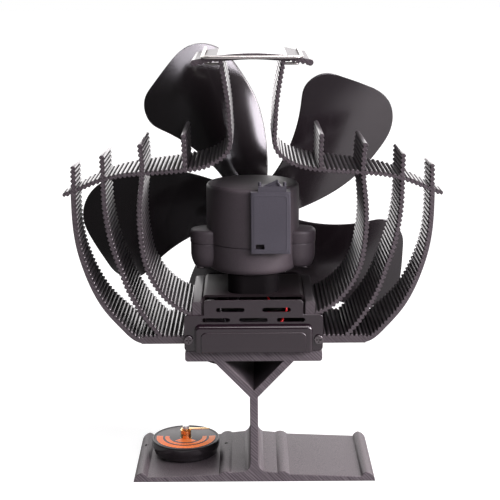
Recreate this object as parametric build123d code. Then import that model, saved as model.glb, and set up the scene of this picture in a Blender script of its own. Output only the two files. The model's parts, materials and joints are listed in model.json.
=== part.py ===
from build123d import *
from math import atan2, cos, degrees, radians, sin, sqrt, tan
import os

# Stove fan, in millimetres, +Z up. The origin is the middle of the foot's underside. The blades
# face +Y, the louvred cover faces -Y, and both extrusions run along Y.

# Clearances
overrun = 1.0
snug_gap = 0.1
press_gap = 0.01
running_gap = 0.05
travel_gap = 0.3

# Foot
foot_width = 126.0
foot_depth = 58.6
foot_height = 71.4
tip_thickness = 0.6
ridge_height = 5.1
ridge_width = 7.1
ridge_peak_share = 0.6
ridge_shoulder_shares = (0.26, 0.76)
ridge_flank_shares = (0.86, 0.56)
plate_edge_thickness = 2.5
plate_root_thickness = 4.1
bump_height = 5.8
bump_offset = 15.3
bump_width = 6.4
bump_inner_share = 0.87
stem_thickness = 4.2
flare_width = 10.0
flare_height = 6.3
flare_middle_share = 0.29
fork_height = 46.4
fork_reach = 20.5
fork_arm_thickness = 4.0
table_width = 69.6
table_thickness = 5.7
marker_hole_radius = 1.0
marker_hole_depth = 3.0
marker_hole_y = 10.6
marker_hole_share = 0.55

# Thermoelectric generator, between the foot and the heat sink
teg_width = 40.0
ceramic_thickness = 0.7
element_thickness = 2.0
pad_thickness = 0.25
gasket_gap = 0.4
gasket_inset = 0.5
lead_tunnel_width = 4.0
lead_tunnel_height = 2.2
lead_offset = 10.0

# Heat sink
sink_width = 188.4
sink_depth = 58.6
sink_rise = 146.3
sink_front_radius = 121.3
base_width = 114.0
base_thickness = 4.6
fin_thickness = 2.9
middle_root_shares = (0.412, 0.8)
inner_root_shares = (0.4, 0.44)
rail_thickness = 2.6
arch_thickness = 3.0
arch_width = 56.4
arch_bead_radius = 1.6
wall_thickness = 5.4
wall_height = 17.4
channel_width = 51.8
port_radius = 1.3
port_drop = 3.8

# Clamp screws
clamp_offset_x = 15.0
clamp_offset_y = 23.4
clamp_radius = 2.0
clamp_head_radius = 3.5
clamp_head_height = 2.6
clamp_depth = 4.6
screw_slot_reach_share = 0.6
screw_slot_width_share = 0.22
screw_slot_depth_share = 0.6
washer_radius = 4.2
washer_thickness = 0.8

# Covers
sheet_thickness = 0.8
cover_width = 70.4
cover_neck_width = 50.4
cover_shoulder_height = 90.6
cover_top_height = 98.3
cover_lift = 0.2
cover_corner_radius = 2.0
emboss_width = 59.6
emboss_height = 13.8
emboss_depth = 3.0
emboss_step = 0.6
emboss_rim = 2.4
emboss_corner_radius = 2.5
slot_width = 14.4
slot_height = 2.2
slot_low_height = 87.9
slot_high_height = 93.2
slot_pitch = 19.0
slot_high_pitch = 23.4
cover_screw_offset = 33.0
cover_screw_radius = 1.5
cover_screw_length = 8.0
cover_screw_head_radius = 2.4
cover_screw_head_height = 1.4

# Motor bracket and pedestal
bracket_height = 19.1
bracket_depth = 44.0
bracket_sheet = 1.2
bracket_corner_radius = 2.0
bracket_screw_y = 12.0
bracket_screw_rise = 6.0
bracket_screw_radius = 1.5
bracket_screw_head_radius = 2.6
bracket_screw_head_height = 1.6
pedestal_width = 26.0
pedestal_near = -20.8
pedestal_far = 13.0
pedestal_corner_radius = 8.0
pedestal_screw_x = 7.5
pedestal_screw_y = 7.5
pedestal_screw_depth = 6.0
pedestal_screw_radius = 1.4
pedestal_screw_head_radius = 2.4
pedestal_screw_head_height = 1.6

# Motor housing
housing_radius = 24.0
housing_wall = 2.0
housing_bottom = 108.7
housing_seam = 123.4
housing_top = 153.7
housing_edge_radius = 2.4
ear_radius = 9.0
ear_offset = 23.5
ear_y = -4.5
ear_top = 130.3
ear_bottom = 110.7
ear_top_radius = 1.4
ear_taper = 1.8
ear_taper_height = 5.2
ear_screw_offset = 27.0
ear_screw_radius = 1.4
ear_screw_length = 17.0
ear_screw_head_radius = 2.5
ear_screw_head_height = 1.6
lead_hole_radius = 2.4
lead_port = (7.0, -17.0)
lead_port_radius = 1.4

# Lid on the back of the housing
lid_width = 20.1
lid_center = 8.8
lid_bottom = 121.1
lid_height = 31.7
lid_depth = 3.0
lid_wall = 1.5
lid_edge_radius = 1.4
lid_hole_width = 4.4
lid_hole_height = 2.6
lid_hole_inset = 2.6
latch_center = 9.7
latch_width = 14.2
latch_near = -26.0
latch_depth = 8.0
latch_thickness = 1.9
latch_tab_width = 9.2
latch_tab_height = 3.2
latch_tab_thickness = 1.4
latch_post_radius = 0.9
latch_post_height = 2.0
latch_peak_share = 0.57

# Motor
axis_height = 131.9
can_radius = 12.0
can_length = 28.0
can_wall = 0.8
nose_radius = 5.0
nose_length = 2.0
end_cap_thickness = 2.5
bearing_radius = 3.2
bearing_length = 4.0
magnet_thickness = 1.5
air_gap = 0.6
cradle_width = 22.0
cradle_depth = 20.0
cradle_top_share = 0.35
shaft_radius = 1.0
core_length = 15.0
winding_length = 1.6
winding_radius = 7.6
tooth_count = 3
tooth_gap = 2.0
tooth_root_share = 0.45
commutator_radius = 3.0
commutator_length = 3.0
brush_width = 2.0
brush_thickness = 1.4

# Blade wheel
blade_count = 5
blade_radius = 94.8
blade_sheet = 1.0
blade_first_angle = 116.0
blade_lean = 7.6
blade_pitch_share = -0.24
blade_twist_share = -0.04
blade_camber_share = 0.5
blade_flat_radius = 13.0
blade_blend_radius = 27.0
blade_plane_offset = 40.0
blade_reference_radius = 60.0
blade_surface_shares = (1.03, 0.34)
plate_radius = 15.0
plate_thickness = 1.6
wheel_offset = 33.3
hub_radius = 6.0
hub_gap = 2.0
nut_radius = 4.5
nut_height = 3.4
shaft_tail = 1.6

# Handle
wire_radius = 0.8
handle_width = 48.4
handle_reach = 31.0
handle_lift = 0.35
handle_pin_y = 26.0
handle_pin_drop = 8.3
handle_pin_inset = 9.0
handle_hook_gap = 0.5
handle_bend_radius = 1.1
handle_corner_radius = 4.0

# Thermometer
dial_x = -37.1
dial_y = 4.2
cup_radius = 18.3
cup_height = 7.2
cup_wall = 1.2
cup_taper = 1.1
cup_taper_height = 3.4
bezel_thickness = 0.7
bezel_width = 1.2
dial_thickness = 0.6
dial_drop = 0.9
magnet_outer_radius = 13.0
magnet_inner_radius = 7.0
magnet_height = 2.6
post_radius = 2.9
post_height = 12.2
post_flange_radius = 4.0
post_flange_height = 0.8
spindle_radius = 0.8
coil_radius = 5.6
coil_turns_width = 2.2
coil_height = 2.0
pointer_length = 12.8
pointer_width = 1.6
pointer_thickness = 0.6
pointer_eye_radius = 2.3
pointer_lift = 0.2
cap_radius = 1.9
cap_height = 1.4

# Leads, by hand, from the generator to the motor
lead_radius = 0.55
lead_arc_share = 0.45
lead_route = [
    (10.0, -20.0, 73.35),
    (10.4, -31.3, 73.1),
    (12.2, -31.2, 80.2),
    (14.4, -26.9, 86.8),
    (17.4, -25.6, 92.2),
    (15.2, -21.6, 94.4),
    (10.4, -18.8, 92.6),
    (*lead_port, 96.4),
    (*lead_port, 112.6),
    (6.2, -19.0, 119.6),
    (5.6, -20.0, 125.8),
    (5.2, -20.4, 130.4),
    (5.2, -16.5, 130.4),
]

# Places that follow from the sizes
pad_floor = foot_height
ceramic_floor = pad_floor + pad_thickness
element_floor = ceramic_floor + ceramic_thickness
ceramic_ceiling = element_floor + element_thickness
sink_floor = ceramic_ceiling + ceramic_thickness + pad_thickness
base_top = sink_floor + base_thickness
wall_top = base_top + wall_height
bracket_top = base_top + bracket_height
pedestal_top = housing_bottom
sink_near = -sink_depth / 2
arc_center_y = sink_depth / 2 - sink_front_radius
cover_bottom = foot_height + cover_lift
can_back = -can_length / 2
can_front = can_length / 2
cap_back = can_back - end_cap_thickness
plate_front = wheel_offset + plate_thickness
nut_front = plate_front + nut_height

# Outlines of the heat sink's fins, as shares of its half width and of its rise
outer_fin_shares = [
    (0.693, 0.056), (0.786, 0.126), (0.849, 0.198), (0.891, 0.269), (0.921, 0.340),
    (0.938, 0.422), (0.942, 0.511), (0.941, 0.617),
]
middle_fin_shares = [
    (0.568, 0.080), (0.614, 0.125), (0.671, 0.197), (0.706, 0.262), (0.745, 0.339),
    (0.768, 0.409), (0.782, 0.480), (0.786, 0.558), (0.788, 0.653),
]
inner_fin_shares = [
    (0.407, 0.129), (0.463, 0.159), (0.510, 0.196), (0.566, 0.267), (0.589, 0.338),
    (0.599, 0.407), (0.597, 0.494), (0.585, 0.563), (0.580, 0.614), (0.588, 0.690),
]
short_fin_shares = [(0.357, 0.606), (0.358, 0.660), (0.361, 0.722)]
rail_shares = [
    (0.987, 0.529), (0.939, 0.540), (0.876, 0.558), (0.799, 0.576), (0.701, 0.591),
    (0.594, 0.598), (0.447, 0.604), (0.368, 0.608), (0.316, 0.612), (0.237, 0.624),
    (0.185, 0.640), (0.142, 0.662), (0.120, 0.689), (0.118, 0.743), (0.124, 0.811),
    (0.138, 0.883), (0.163, 0.975),
]
arch_crease_share = 0.178
arch_crease_rise_share = 0.983
arch_end_rise_share = 0.969
arch_crown_rise_share = 0.9897

# Outline of a blade, as shares of the blade radius: along the blade and across it
blade_shares = [
    (0.030, 0.050), (0.100, 0.078), (0.182, 0.066), (0.262, 0.073), (0.345, 0.095),
    (0.490, 0.157), (0.631, 0.252), (0.697, 0.297), (0.780, 0.301), (0.850, 0.264),
    (0.894, 0.194), (0.933, 0.116), (0.967, 0.042), (0.993, -0.035), (0.991, -0.117),
    (0.953, -0.191), (0.893, -0.242), (0.814, -0.272), (0.734, -0.286), (0.574, -0.298),
    (0.405, -0.273), (0.252, -0.220), (0.105, -0.142), (0.030, -0.080),
]


def face_of(edges):
    """Face inside a closed run of edges."""
    return Face(Wire(edges))


def along_y(face, near, far):
    """Solid of a face drawn as (X, Z), run from Y = near to Y = far."""
    placed = Plane.XZ * Pos(0, 0, -near) * face
    return extrude(placed, amount=far - near, dir=(0, 1, 0))


def both_sides(shape):
    """A shape and its mirror image across the X = 0 plane."""
    return shape + mirror(shape, about=Plane.YZ)


def block(x_range, y_range, z_range):
    """Box between two values along each axis."""
    spans = [high - low for low, high in (x_range, y_range, z_range)]
    middles = [(high + low) / 2 for low, high in (x_range, y_range, z_range)]
    return Pos(*middles) * Box(*spans)


def rod(radius, low, high):
    """Cylinder on the Z axis between two heights."""
    return Pos(0, 0, (low + high) / 2) * Cylinder(radius, high - low)


def ring(outer, inner, low, high):
    """Tube on the Z axis between two heights."""
    return rod(outer, low, high) - rod(inner, low - overrun, high + overrun)


def on_axis(shape):
    """Turn a shape built on +Z so that it lies on the motor's axis, with +Z along +Y."""
    return Pos(0, 0, axis_height) * Rot(-90, 0, 0) * shape


def screw(radius, length, head_radius, head_height):
    """Cross-head screw: its shank runs down -Z from the origin, its head sits above."""
    head = rod(head_radius, 0, head_height)
    head = fillet(head.edges().group_by(Axis.Z)[-1], head_height / 3)
    arm = head_radius * screw_slot_reach_share
    slot = head_radius * screw_slot_width_share
    depth = head_height * screw_slot_depth_share
    cross = Pos(0, 0, head_height) * (Box(2 * arm, slot, 2 * depth) + Box(slot, 2 * arm, 2 * depth))
    return head + rod(radius, -length, 0) - cross


def corners(offset_x, offset_y):
    """The four places at plus and minus two offsets."""
    return [(x, y) for x in (-offset_x, offset_x) for y in (-offset_y, offset_y)]


def foot_outline():
    """The foot's cross-section, its left half the mirror image of its right."""
    half = foot_width / 2
    ridge_foot = (half - ridge_width, plate_edge_thickness)
    ridge_peak = (half - ridge_width * ridge_peak_share, ridge_height)
    shoulder_in, shoulder_up = ridge_shoulder_shares
    ridge_shoulder = (half - ridge_width * shoulder_in, ridge_height * shoulder_up)
    flank_in, flank_up = ridge_flank_shares
    ridge_flank = (half - ridge_width * flank_in, (ridge_height + plate_edge_thickness) * flank_up)
    tip = (half, tip_thickness)
    bump_outer = (bump_offset + bump_width / 2, plate_root_thickness)
    bump_top = (bump_offset, bump_height)
    bump_inner = (bump_offset - bump_width / 2, bump_height * bump_inner_share)
    flare_foot = (flare_width / 2, bump_height)
    stem_side = stem_thickness / 2
    flare_top = (stem_side, bump_height + flare_height)
    flare_middle = (
        stem_side + (flare_width / 2 - stem_side) * flare_middle_share,
        bump_height + flare_height * flare_middle_share,
    )
    underside = foot_height - table_thickness
    table_side = table_width / 2
    right = [
        Line((0, 0), (half, 0)),
        Line((half, 0), tip),
        ThreePointArc(tip, ridge_shoulder, ridge_peak),
        ThreePointArc(ridge_peak, ridge_flank, ridge_foot),
        Line(ridge_foot, bump_outer),
        ThreePointArc(bump_outer, bump_top, bump_inner),
        Line(bump_inner, flare_foot),
        ThreePointArc(flare_foot, flare_middle, flare_top),
        Line(flare_top, (stem_side, fork_height)),
        Line((stem_side, fork_height), (fork_reach, underside)),
        Line((fork_reach, underside), (table_side, underside)),
        Line((table_side, underside), (table_side, foot_height)),
        Line((table_side, foot_height), (0, foot_height)),
    ]
    return face_of(right + [mirror(edge, about=Plane.YZ).edge() for edge in right])


def fork_window():
    """Triangle between the two arms of the foot's fork."""
    underside = foot_height - table_thickness
    slope = atan2(underside - fork_height, fork_reach - stem_thickness / 2)
    shift = fork_arm_thickness / sin(slope)
    top = fork_reach - shift
    bottom = underside - top * tan(slope)
    return face_of([
        Line((0, bottom), (top, underside)),
        Line((top, underside), (-top, underside)),
        Line((-top, underside), (0, bottom)),
    ])


def heat_collector_foot():
    """Extruded foot: ridged plate, stem, fork and top plate."""
    foot = along_y(foot_outline(), -foot_depth / 2, foot_depth / 2)
    foot -= along_y(fork_window(), -foot_depth / 2 - overrun, foot_depth / 2 + overrun)
    for x in (-bump_offset, ridge_width * marker_hole_share - foot_width / 2):
        foot -= Pos(x, marker_hole_y, bump_height) * Cylinder(marker_hole_radius, 2 * marker_hole_depth)
    for x, y in corners(clamp_offset_x, clamp_offset_y):
        foot -= Pos(x, y, foot_height) * rod(clamp_radius + snug_gap, -clamp_depth - snug_gap, overrun)
    return foot


def thermal_pads():
    """The two thin heat-conducting sheets of the generator."""
    half = teg_width / 2
    side = (-half, half)
    return Part() + [
        block(side, side, (pad_floor, pad_floor + pad_thickness)),
        block(side, side, (sink_floor - pad_thickness, sink_floor)),
    ]


def teg_ceramic_plates():
    """The generator's two ceramic faces."""
    half = teg_width / 2
    side = (-half, half)
    return Part() + [
        block(side, side, (ceramic_floor, ceramic_floor + ceramic_thickness)),
        block(side, side, (ceramic_ceiling, ceramic_ceiling + ceramic_thickness)),
    ]


def teg_elements():
    """The layer of thermoelectric legs between the ceramic faces."""
    half = teg_width / 2
    return block((-half, half), (-half, half), (element_floor, ceramic_ceiling))


def insulation_gasket():
    """Frame that keeps the hot foot and the cool heat sink apart round the generator."""
    outer_x = table_width / 2 - gasket_inset
    outer_y = foot_depth / 2 - gasket_inset
    inner = teg_width / 2 + gasket_gap
    height = (foot_height, sink_floor)
    cut = (foot_height - overrun, sink_floor + overrun)
    frame = block((-outer_x, outer_x), (-outer_y, outer_y), height)
    frame -= block((-inner, inner), (-inner, inner), cut)
    frame &= Pos(0, arc_center_y, 0) * rod(sink_front_radius - gasket_inset, *cut)
    middle = (element_floor + ceramic_ceiling) / 2
    tunnel_rise = (middle - lead_tunnel_height / 2, middle + lead_tunnel_height / 2)
    for x in (-lead_offset, lead_offset):
        sides = (x - lead_tunnel_width / 2, x + lead_tunnel_width / 2)
        frame -= block(sides, (-outer_y - overrun, 0), tunnel_rise)
    for x, y in corners(clamp_offset_x, clamp_offset_y):
        frame -= Pos(x, y, 0) * rod(clamp_radius + snug_gap, *cut)
    return frame


def clamp_washers():
    """Washers under the clamp screws' heads."""
    washer = ring(washer_radius, clamp_radius + snug_gap, base_top, base_top + washer_thickness)
    return Part() + [Pos(x, y, 0) * washer for x, y in corners(clamp_offset_x, clamp_offset_y)]


def clamp_screws():
    """Screws that hold the heat sink down on the foot, through the generator's gasket."""
    seat = base_top + washer_thickness
    length = seat - foot_height + clamp_depth
    part = screw(clamp_radius, length, clamp_head_radius, clamp_head_height)
    return Part() + [Pos(x, y, seat) * part for x, y in corners(clamp_offset_x, clamp_offset_y)]


def sink_point(share):
    """Place in the heat sink's cross-section from its shares."""
    return (share[0] * sink_width / 2, sink_floor + share[1] * sink_rise)


def ribbon(points, thickness, samples=14):
    """Face of a strip of even thickness whose middle follows a smooth line through points."""
    middle = Spline(*points)
    left = []
    right = []
    for step in range(samples + 1):
        place = middle @ (step / samples)
        heading = middle % (step / samples)
        across = Vector(-heading.Y, heading.X) * thickness / 2
        left.append(place + across)
        right.append(place - across)
    return face_of([
        Spline(*left),
        Line(left[-1], right[-1]),
        Spline(*reversed(right)),
        Line(right[0], left[0]),
    ])


def round_end(point, thickness):
    """Disc that rounds the end of a strip."""
    return Pos(*point) * Circle(thickness / 2)


def outer_root():
    """Start of the outer fin's middle line, so that its outer face runs on from the base plate's underside."""
    return (base_width / 2, sink_floor + fin_thickness / 2)


def sink_fins():
    """Right-hand fins, each rooted in the base plate or in the channel wall."""
    wall_outer = channel_width / 2 + wall_thickness
    across, up = middle_root_shares
    middle_root = (base_width * across, sink_floor + base_thickness * up)
    inward, down = inner_root_shares
    inner_root = (wall_outer - wall_thickness * inward, wall_top - wall_height * down)
    fins = [round_end(outer_root(), fin_thickness)]
    for root, shares in (
        (outer_root(), outer_fin_shares),
        (middle_root, middle_fin_shares),
        (inner_root, inner_fin_shares),
    ):
        points = [root] + [sink_point(share) for share in shares]
        fins += [ribbon(points, fin_thickness), round_end(points[-1], fin_thickness)]
    points = [sink_point(share) for share in short_fin_shares]
    fins += [ribbon(points, rail_thickness), round_end(points[-1], rail_thickness)]
    return fins


def sink_rail_and_arch():
    """Right-hand cross rail that turns up into an arm, and the arch's sloping flange."""
    points = [sink_point(share) for share in rail_shares]
    rail = [ribbon(points, rail_thickness, 2 * len(points)), round_end(points[0], rail_thickness)]
    crease = sink_point((arch_crease_share, arch_crease_rise_share))
    end = (arch_width / 2, sink_floor + arch_end_rise_share * sink_rise)
    slope = atan2(end[1] - crease[1], end[0] - crease[0])
    lift_x = -sin(slope) * arch_thickness / 2
    lift_z = cos(slope) * arch_thickness / 2
    flange = face_of([
        Line((crease[0] + lift_x, crease[1] + lift_z), (end[0] + lift_x, end[1] + lift_z)),
        Line((end[0] + lift_x, end[1] + lift_z), (end[0] - lift_x, end[1] - lift_z)),
        Line((end[0] - lift_x, end[1] - lift_z), (crease[0] - lift_x, crease[1] - lift_z)),
        Line((crease[0] - lift_x, crease[1] - lift_z), (crease[0] + lift_x, crease[1] + lift_z)),
    ])
    return rail + [flange, round_end(crease, arch_thickness), Pos(*end) * Circle(arch_bead_radius)]


def sink_extrusion():
    """Whole heat sink before its front face is cut and its holes are drilled."""
    wall_center = channel_width / 2 + wall_thickness / 2
    root = base_thickness / 2
    wall = Pos(wall_center, wall_top - (wall_height + root) / 2) * Rectangle(wall_thickness, wall_height + root)
    crease = sink_point((arch_crease_share, arch_crease_rise_share))
    crown = sink_point((0, arch_crown_rise_share))
    arch = ribbon([(-crease[0], crease[1]), crown, crease], arch_thickness)
    base = Pos(0, (sink_floor + base_top) / 2) * Rectangle(base_width, base_thickness)
    far = sink_depth / 2
    side = Part() + [along_y(face, sink_near, far) for face in sink_fins() + sink_rail_and_arch() + [wall]]
    port = Pos(wall_center, wall_top - port_drop) * Circle(port_radius)
    side -= along_y(port, sink_near - overrun, far + overrun)
    middle = [along_y(face, sink_near, far) for face in (base, arch)]
    return Part() + (middle + [side, mirror(side, about=Plane.YZ)])


def arc_turn(offset):
    """Angle about the front face's arc centre that moves a point sideways by offset."""
    return degrees(atan2(offset, sqrt(sink_front_radius ** 2 - offset ** 2)))


def front_place(offset, height):
    """Place on the curved front face, with +Z turned to point straight out of it."""
    turned = Pos(0, arc_center_y, 0) * Rot(0, 0, -arc_turn(offset))
    return turned * Pos(0, sink_front_radius, height) * Rot(-90, 0, 0)


def handle_pin_height():
    """Height of the handle's pivot, below its legs."""
    return handle_leg_height() - handle_pin_drop


def handle_leg_height():
    """Height of the handle's legs, just above the arch's sloping flanges."""
    crease = sink_point((arch_crease_share, arch_crease_rise_share))
    end = (arch_width / 2, sink_floor + arch_end_rise_share * sink_rise)
    slope = (end[1] - crease[1]) / (end[0] - crease[0])
    middle = crease[1] + slope * (handle_width / 2 - crease[0])
    return middle + (arch_thickness / 2 + wire_radius + handle_lift) * sqrt(1 + slope ** 2)


def heat_sink():
    """Extruded heat sink, its front face cut to an arc, with its drilled holes."""
    body = sink_extrusion()
    body &= Pos(0, arc_center_y, 0) * rod(sink_front_radius, 0, 2 * (sink_floor + sink_rise))
    for x, y in corners(clamp_offset_x, clamp_offset_y):
        body -= Pos(x, y, 0) * rod(clamp_radius + snug_gap, sink_floor - overrun, base_top + overrun)
    height = sink_floor + base_thickness / 2
    hole = rod(cover_screw_radius + snug_gap, -cover_screw_length - snug_gap, overrun)
    for x in (-cover_screw_offset, cover_screw_offset):
        body -= Pos(x, sink_near, height) * Rot(90, 0, 0) * hole
        body -= front_place(x, height) * hole
    reach = channel_width / 2 + wall_thickness + overrun
    for y in (-bracket_screw_y, bracket_screw_y):
        bore = rod(bracket_screw_radius + snug_gap, -reach, reach)
        body -= Pos(0, y, base_top + bracket_screw_rise) * Rot(0, 90, 0) * bore
    pin = rod(wire_radius + running_gap, -handle_width / 2, handle_width / 2)
    return body - Pos(0, handle_pin_y, handle_pin_height()) * Rot(0, 90, 0) * pin


def cover_outline():
    """Outline of a sheet cover: wide below its shoulders, narrow above."""
    height = cover_shoulder_height - cover_bottom
    lower = Pos(0, cover_bottom + height / 2) * RectangleRounded(cover_width, height, cover_corner_radius)
    neck_bottom = cover_shoulder_height - 2 * cover_corner_radius
    neck_height = cover_top_height - neck_bottom
    neck = Pos(0, neck_bottom + neck_height / 2)
    return lower + neck * RectangleRounded(cover_neck_width, neck_height, cover_corner_radius)


def emboss_outline(inset):
    """Outline of the cover's raised panel, drawn in from its edge."""
    height = emboss_height - inset
    width = emboss_width - 2 * inset
    panel = Pos(0, cover_bottom + height / 2) * RectangleRounded(width, height, emboss_corner_radius)
    return panel + Pos(0, cover_bottom + height / 4) * Rectangle(width, height / 2)


def rear_cover():
    """Louvred cover with a raised panel, which leaves room for the leads behind it."""
    back = sink_near
    front = back - sheet_thickness
    cover = along_y(cover_outline(), front, back)
    cover += along_y(emboss_outline(0), front - emboss_depth, back)
    step = emboss_rim + sheet_thickness
    cover += along_y(emboss_outline(step), front - emboss_depth - emboss_step, back)
    cover -= along_y(emboss_outline(sheet_thickness), back - emboss_depth, back + overrun)
    below = block((-emboss_width, emboss_width), (back - cover_width, back), (0, cover_bottom))
    cover -= below
    slot = SlotOverall(slot_width, slot_height)
    places = [(x * slot_pitch, slot_low_height) for x in (-1, 0, 1)]
    places += [(x * slot_high_pitch / 2, slot_high_height) for x in (-1, 1)]
    for x, z in places:
        cover -= along_y(Pos(x, z) * slot, front - overrun, back + overrun)
    height = sink_floor + base_thickness / 2
    hole = rod(cover_screw_radius + snug_gap, -cover_width, cover_width)
    for x in (-cover_screw_offset, cover_screw_offset):
        cover -= Pos(x, 0, height) * Rot(90, 0, 0) * hole
    return cover


def front_cover():
    """Plain cover, curved to lie on the heat sink's front face."""
    outer = sink_front_radius + sheet_thickness
    skin = Pos(0, arc_center_y, 0) * ring(outer, sink_front_radius, cover_bottom, cover_top_height)
    cover = skin & along_y(cover_outline(), 0, outer)
    height = sink_floor + base_thickness / 2
    hole = rod(cover_screw_radius + snug_gap, -overrun, sheet_thickness + overrun)
    for x in (-cover_screw_offset, cover_screw_offset):
        cover -= front_place(x, height) * hole
    return cover


def cover_screws():
    """Cross-head screws of both covers."""
    part = screw(cover_screw_radius, cover_screw_length, cover_screw_head_radius, cover_screw_head_height)
    height = sink_floor + base_thickness / 2
    seated = Pos(0, 0, sheet_thickness) * part
    screws = []
    for x in (-cover_screw_offset, cover_screw_offset):
        screws.append(Pos(x, sink_near, height) * Rot(90, 0, 0) * seated)
        screws.append(front_place(x, height) * Pos(0, 0, snug_gap) * seated)
    return Part() + screws


def motor_bracket():
    """Upside-down sheet channel that stands on the base plate between the walls."""
    half = channel_width / 2
    depth = bracket_depth / 2
    outer = block((-half, half), (-depth, depth), (base_top, bracket_top))
    rims = outer.edges().filter_by(Axis.Y).group_by(Axis.Z)[-1]
    outer = fillet(rims, bracket_corner_radius)
    inner = half - bracket_sheet
    space = (base_top - overrun, bracket_top - bracket_sheet)
    bracket = outer - block((-inner, inner), (-depth - overrun, depth + overrun), space)
    hole = rod(bracket_screw_radius + snug_gap, -channel_width, channel_width)
    for y in (-bracket_screw_y, bracket_screw_y):
        bracket -= Pos(0, y, base_top + bracket_screw_rise) * Rot(0, 90, 0) * hole
    for x, y in corners(pedestal_screw_x, pedestal_screw_y):
        bracket -= Pos(x, y, bracket_top) * Cylinder(pedestal_screw_radius + snug_gap, 2 * bracket_sheet + overrun)
    return bracket - lead_ports(base_top, bracket_top + overrun)


def bracket_screws():
    """Screws through the channel walls into the bracket's sides."""
    length = wall_thickness + 2 * bracket_sheet
    part = screw(bracket_screw_radius, length, bracket_screw_head_radius, bracket_screw_head_height)
    seat = channel_width / 2 + wall_thickness
    height = base_top + bracket_screw_rise
    screws = []
    for y in (-bracket_screw_y, bracket_screw_y):
        screws.append(Pos(seat, y, height) * Rot(0, 90, 0) * part)
        screws.append(Pos(-seat, y, height) * Rot(0, -90, 0) * part)
    return Part() + screws


def lead_ports(low, high):
    """Cutters for the two round holes that the leads rise through."""
    x, y = lead_port
    return both_sides(Pos(x, y, 0) * rod(lead_port_radius, low, high))


def motor_pedestal():
    """Block that carries the motor housing on the bracket, with the holes for the leads."""
    half = pedestal_width / 2
    neck = block((-half, half), (pedestal_near, pedestal_far), (bracket_top, pedestal_top))
    neck = fillet(neck.edges().filter_by(Axis.Z), pedestal_corner_radius)
    for x, y in corners(pedestal_screw_x, pedestal_screw_y):
        depth = pedestal_screw_depth + snug_gap
        neck -= Pos(x, y, bracket_top) * rod(pedestal_screw_radius + snug_gap, -overrun, depth)
    return neck - lead_ports(bracket_top - overrun, pedestal_top + overrun)


def pedestal_screws():
    """Screws driven up through the bracket into the pedestal."""
    seat = bracket_top - bracket_sheet
    length = bracket_sheet + pedestal_screw_depth
    part = screw(pedestal_screw_radius, length, pedestal_screw_head_radius, pedestal_screw_head_height)
    seated = Rot(180, 0, 0) * part
    return Part() + [Pos(x, y, seat) * seated for x, y in corners(pedestal_screw_x, pedestal_screw_y)]


def side_of(lobe):
    """Round side face of an upright cylinder."""
    return lobe.faces().filter_by(GeomType.CYLINDER)[0]


def ears(low, high):
    """Rounded screw lobes on both sides of the housing."""
    lobe = rod(ear_radius, low, high)
    if high == ear_top:
        lobe = fillet(lobe.edges().group_by(Axis.Z)[-1], ear_top_radius)
    if low == ear_bottom:
        lobe = chamfer(lobe.edges().group_by(Axis.Z)[0], ear_taper_height, ear_taper, reference=side_of(lobe))
    lobe = Pos(ear_offset, ear_y, 0) * lobe
    lobe -= Pos(ear_screw_offset, ear_y, 0) * rod(ear_screw_radius + snug_gap, low - overrun, ear_screw_top())
    return both_sides(lobe)


def ear_screw_top():
    """Height of the tips of the screws in the housing's ears."""
    return ear_bottom + ear_screw_length + snug_gap


def housing_lower_shell():
    """Cup under the motor, with its ears and the holes for the leads."""
    cup = rod(housing_radius, housing_bottom, housing_seam)
    cup = fillet(cup.edges().group_by(Axis.Z)[0], housing_edge_radius) + ears(ear_bottom, housing_seam)
    cup -= rod(housing_radius - housing_wall, housing_bottom + housing_wall, housing_seam + overrun)
    lead_x, lead_y = lead_port
    hole = rod(lead_hole_radius, housing_bottom - overrun, housing_bottom + housing_wall + overrun)
    for x in (-lead_x, lead_x):
        cup -= Pos(x, lead_y, 0) * hole
    return cup


def housing_upper_shell():
    """Cap over the motor, with the tops of the ears and the hole for the shaft."""
    cap = rod(housing_radius, housing_seam, housing_top)
    cap = fillet(cap.edges().group_by(Axis.Z)[-1], housing_edge_radius) + ears(housing_seam, ear_top)
    cap -= rod(housing_radius - housing_wall, housing_seam - overrun, housing_top - housing_wall)
    return cap - on_axis(rod(nose_radius, 0, housing_radius + overrun))


def housing_screws():
    """Screws that close the housing, driven up through the ears."""
    part = screw(ear_screw_radius, ear_screw_length, ear_screw_head_radius, ear_screw_head_height)
    places = [(x, ear_y) for x in (-ear_screw_offset, ear_screw_offset)]
    return Part() + [Pos(x, y, ear_bottom) * Rot(180, 0, 0) * part for x, y in places]


def box_cover():
    """Raised lid on the back of the housing, offset to one side."""
    side = (lid_center - lid_width / 2, lid_center + lid_width / 2)
    rise = (lid_bottom, lid_bottom + lid_height)
    back = -housing_radius - lid_depth
    solid = block(side, (back, 0), rise)
    rims = solid.edges().filter_by(Axis.Z).group_by(Axis.Y)[0] + solid.edges().filter_by(Axis.X).group_by(Axis.Y)[0]
    solid = fillet(rims, lid_edge_radius)
    hollow_side = (side[0] + lid_wall, side[1] - lid_wall)
    hollow_rise = (rise[0] + lid_wall, rise[1] - lid_wall)
    solid -= block(hollow_side, (back + lid_wall, overrun), hollow_rise)
    solid -= rod(housing_radius, lid_bottom - overrun, lid_bottom + lid_height + overrun)
    hole_side = (side[0] + lid_hole_inset, side[0] + lid_hole_inset + lid_hole_width)
    hole_rise = (rise[0] + lid_hole_inset, rise[0] + lid_hole_inset + lid_hole_height)
    return solid - block(hole_side, (back - overrun, back + lid_wall + overrun), hole_rise)


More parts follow.
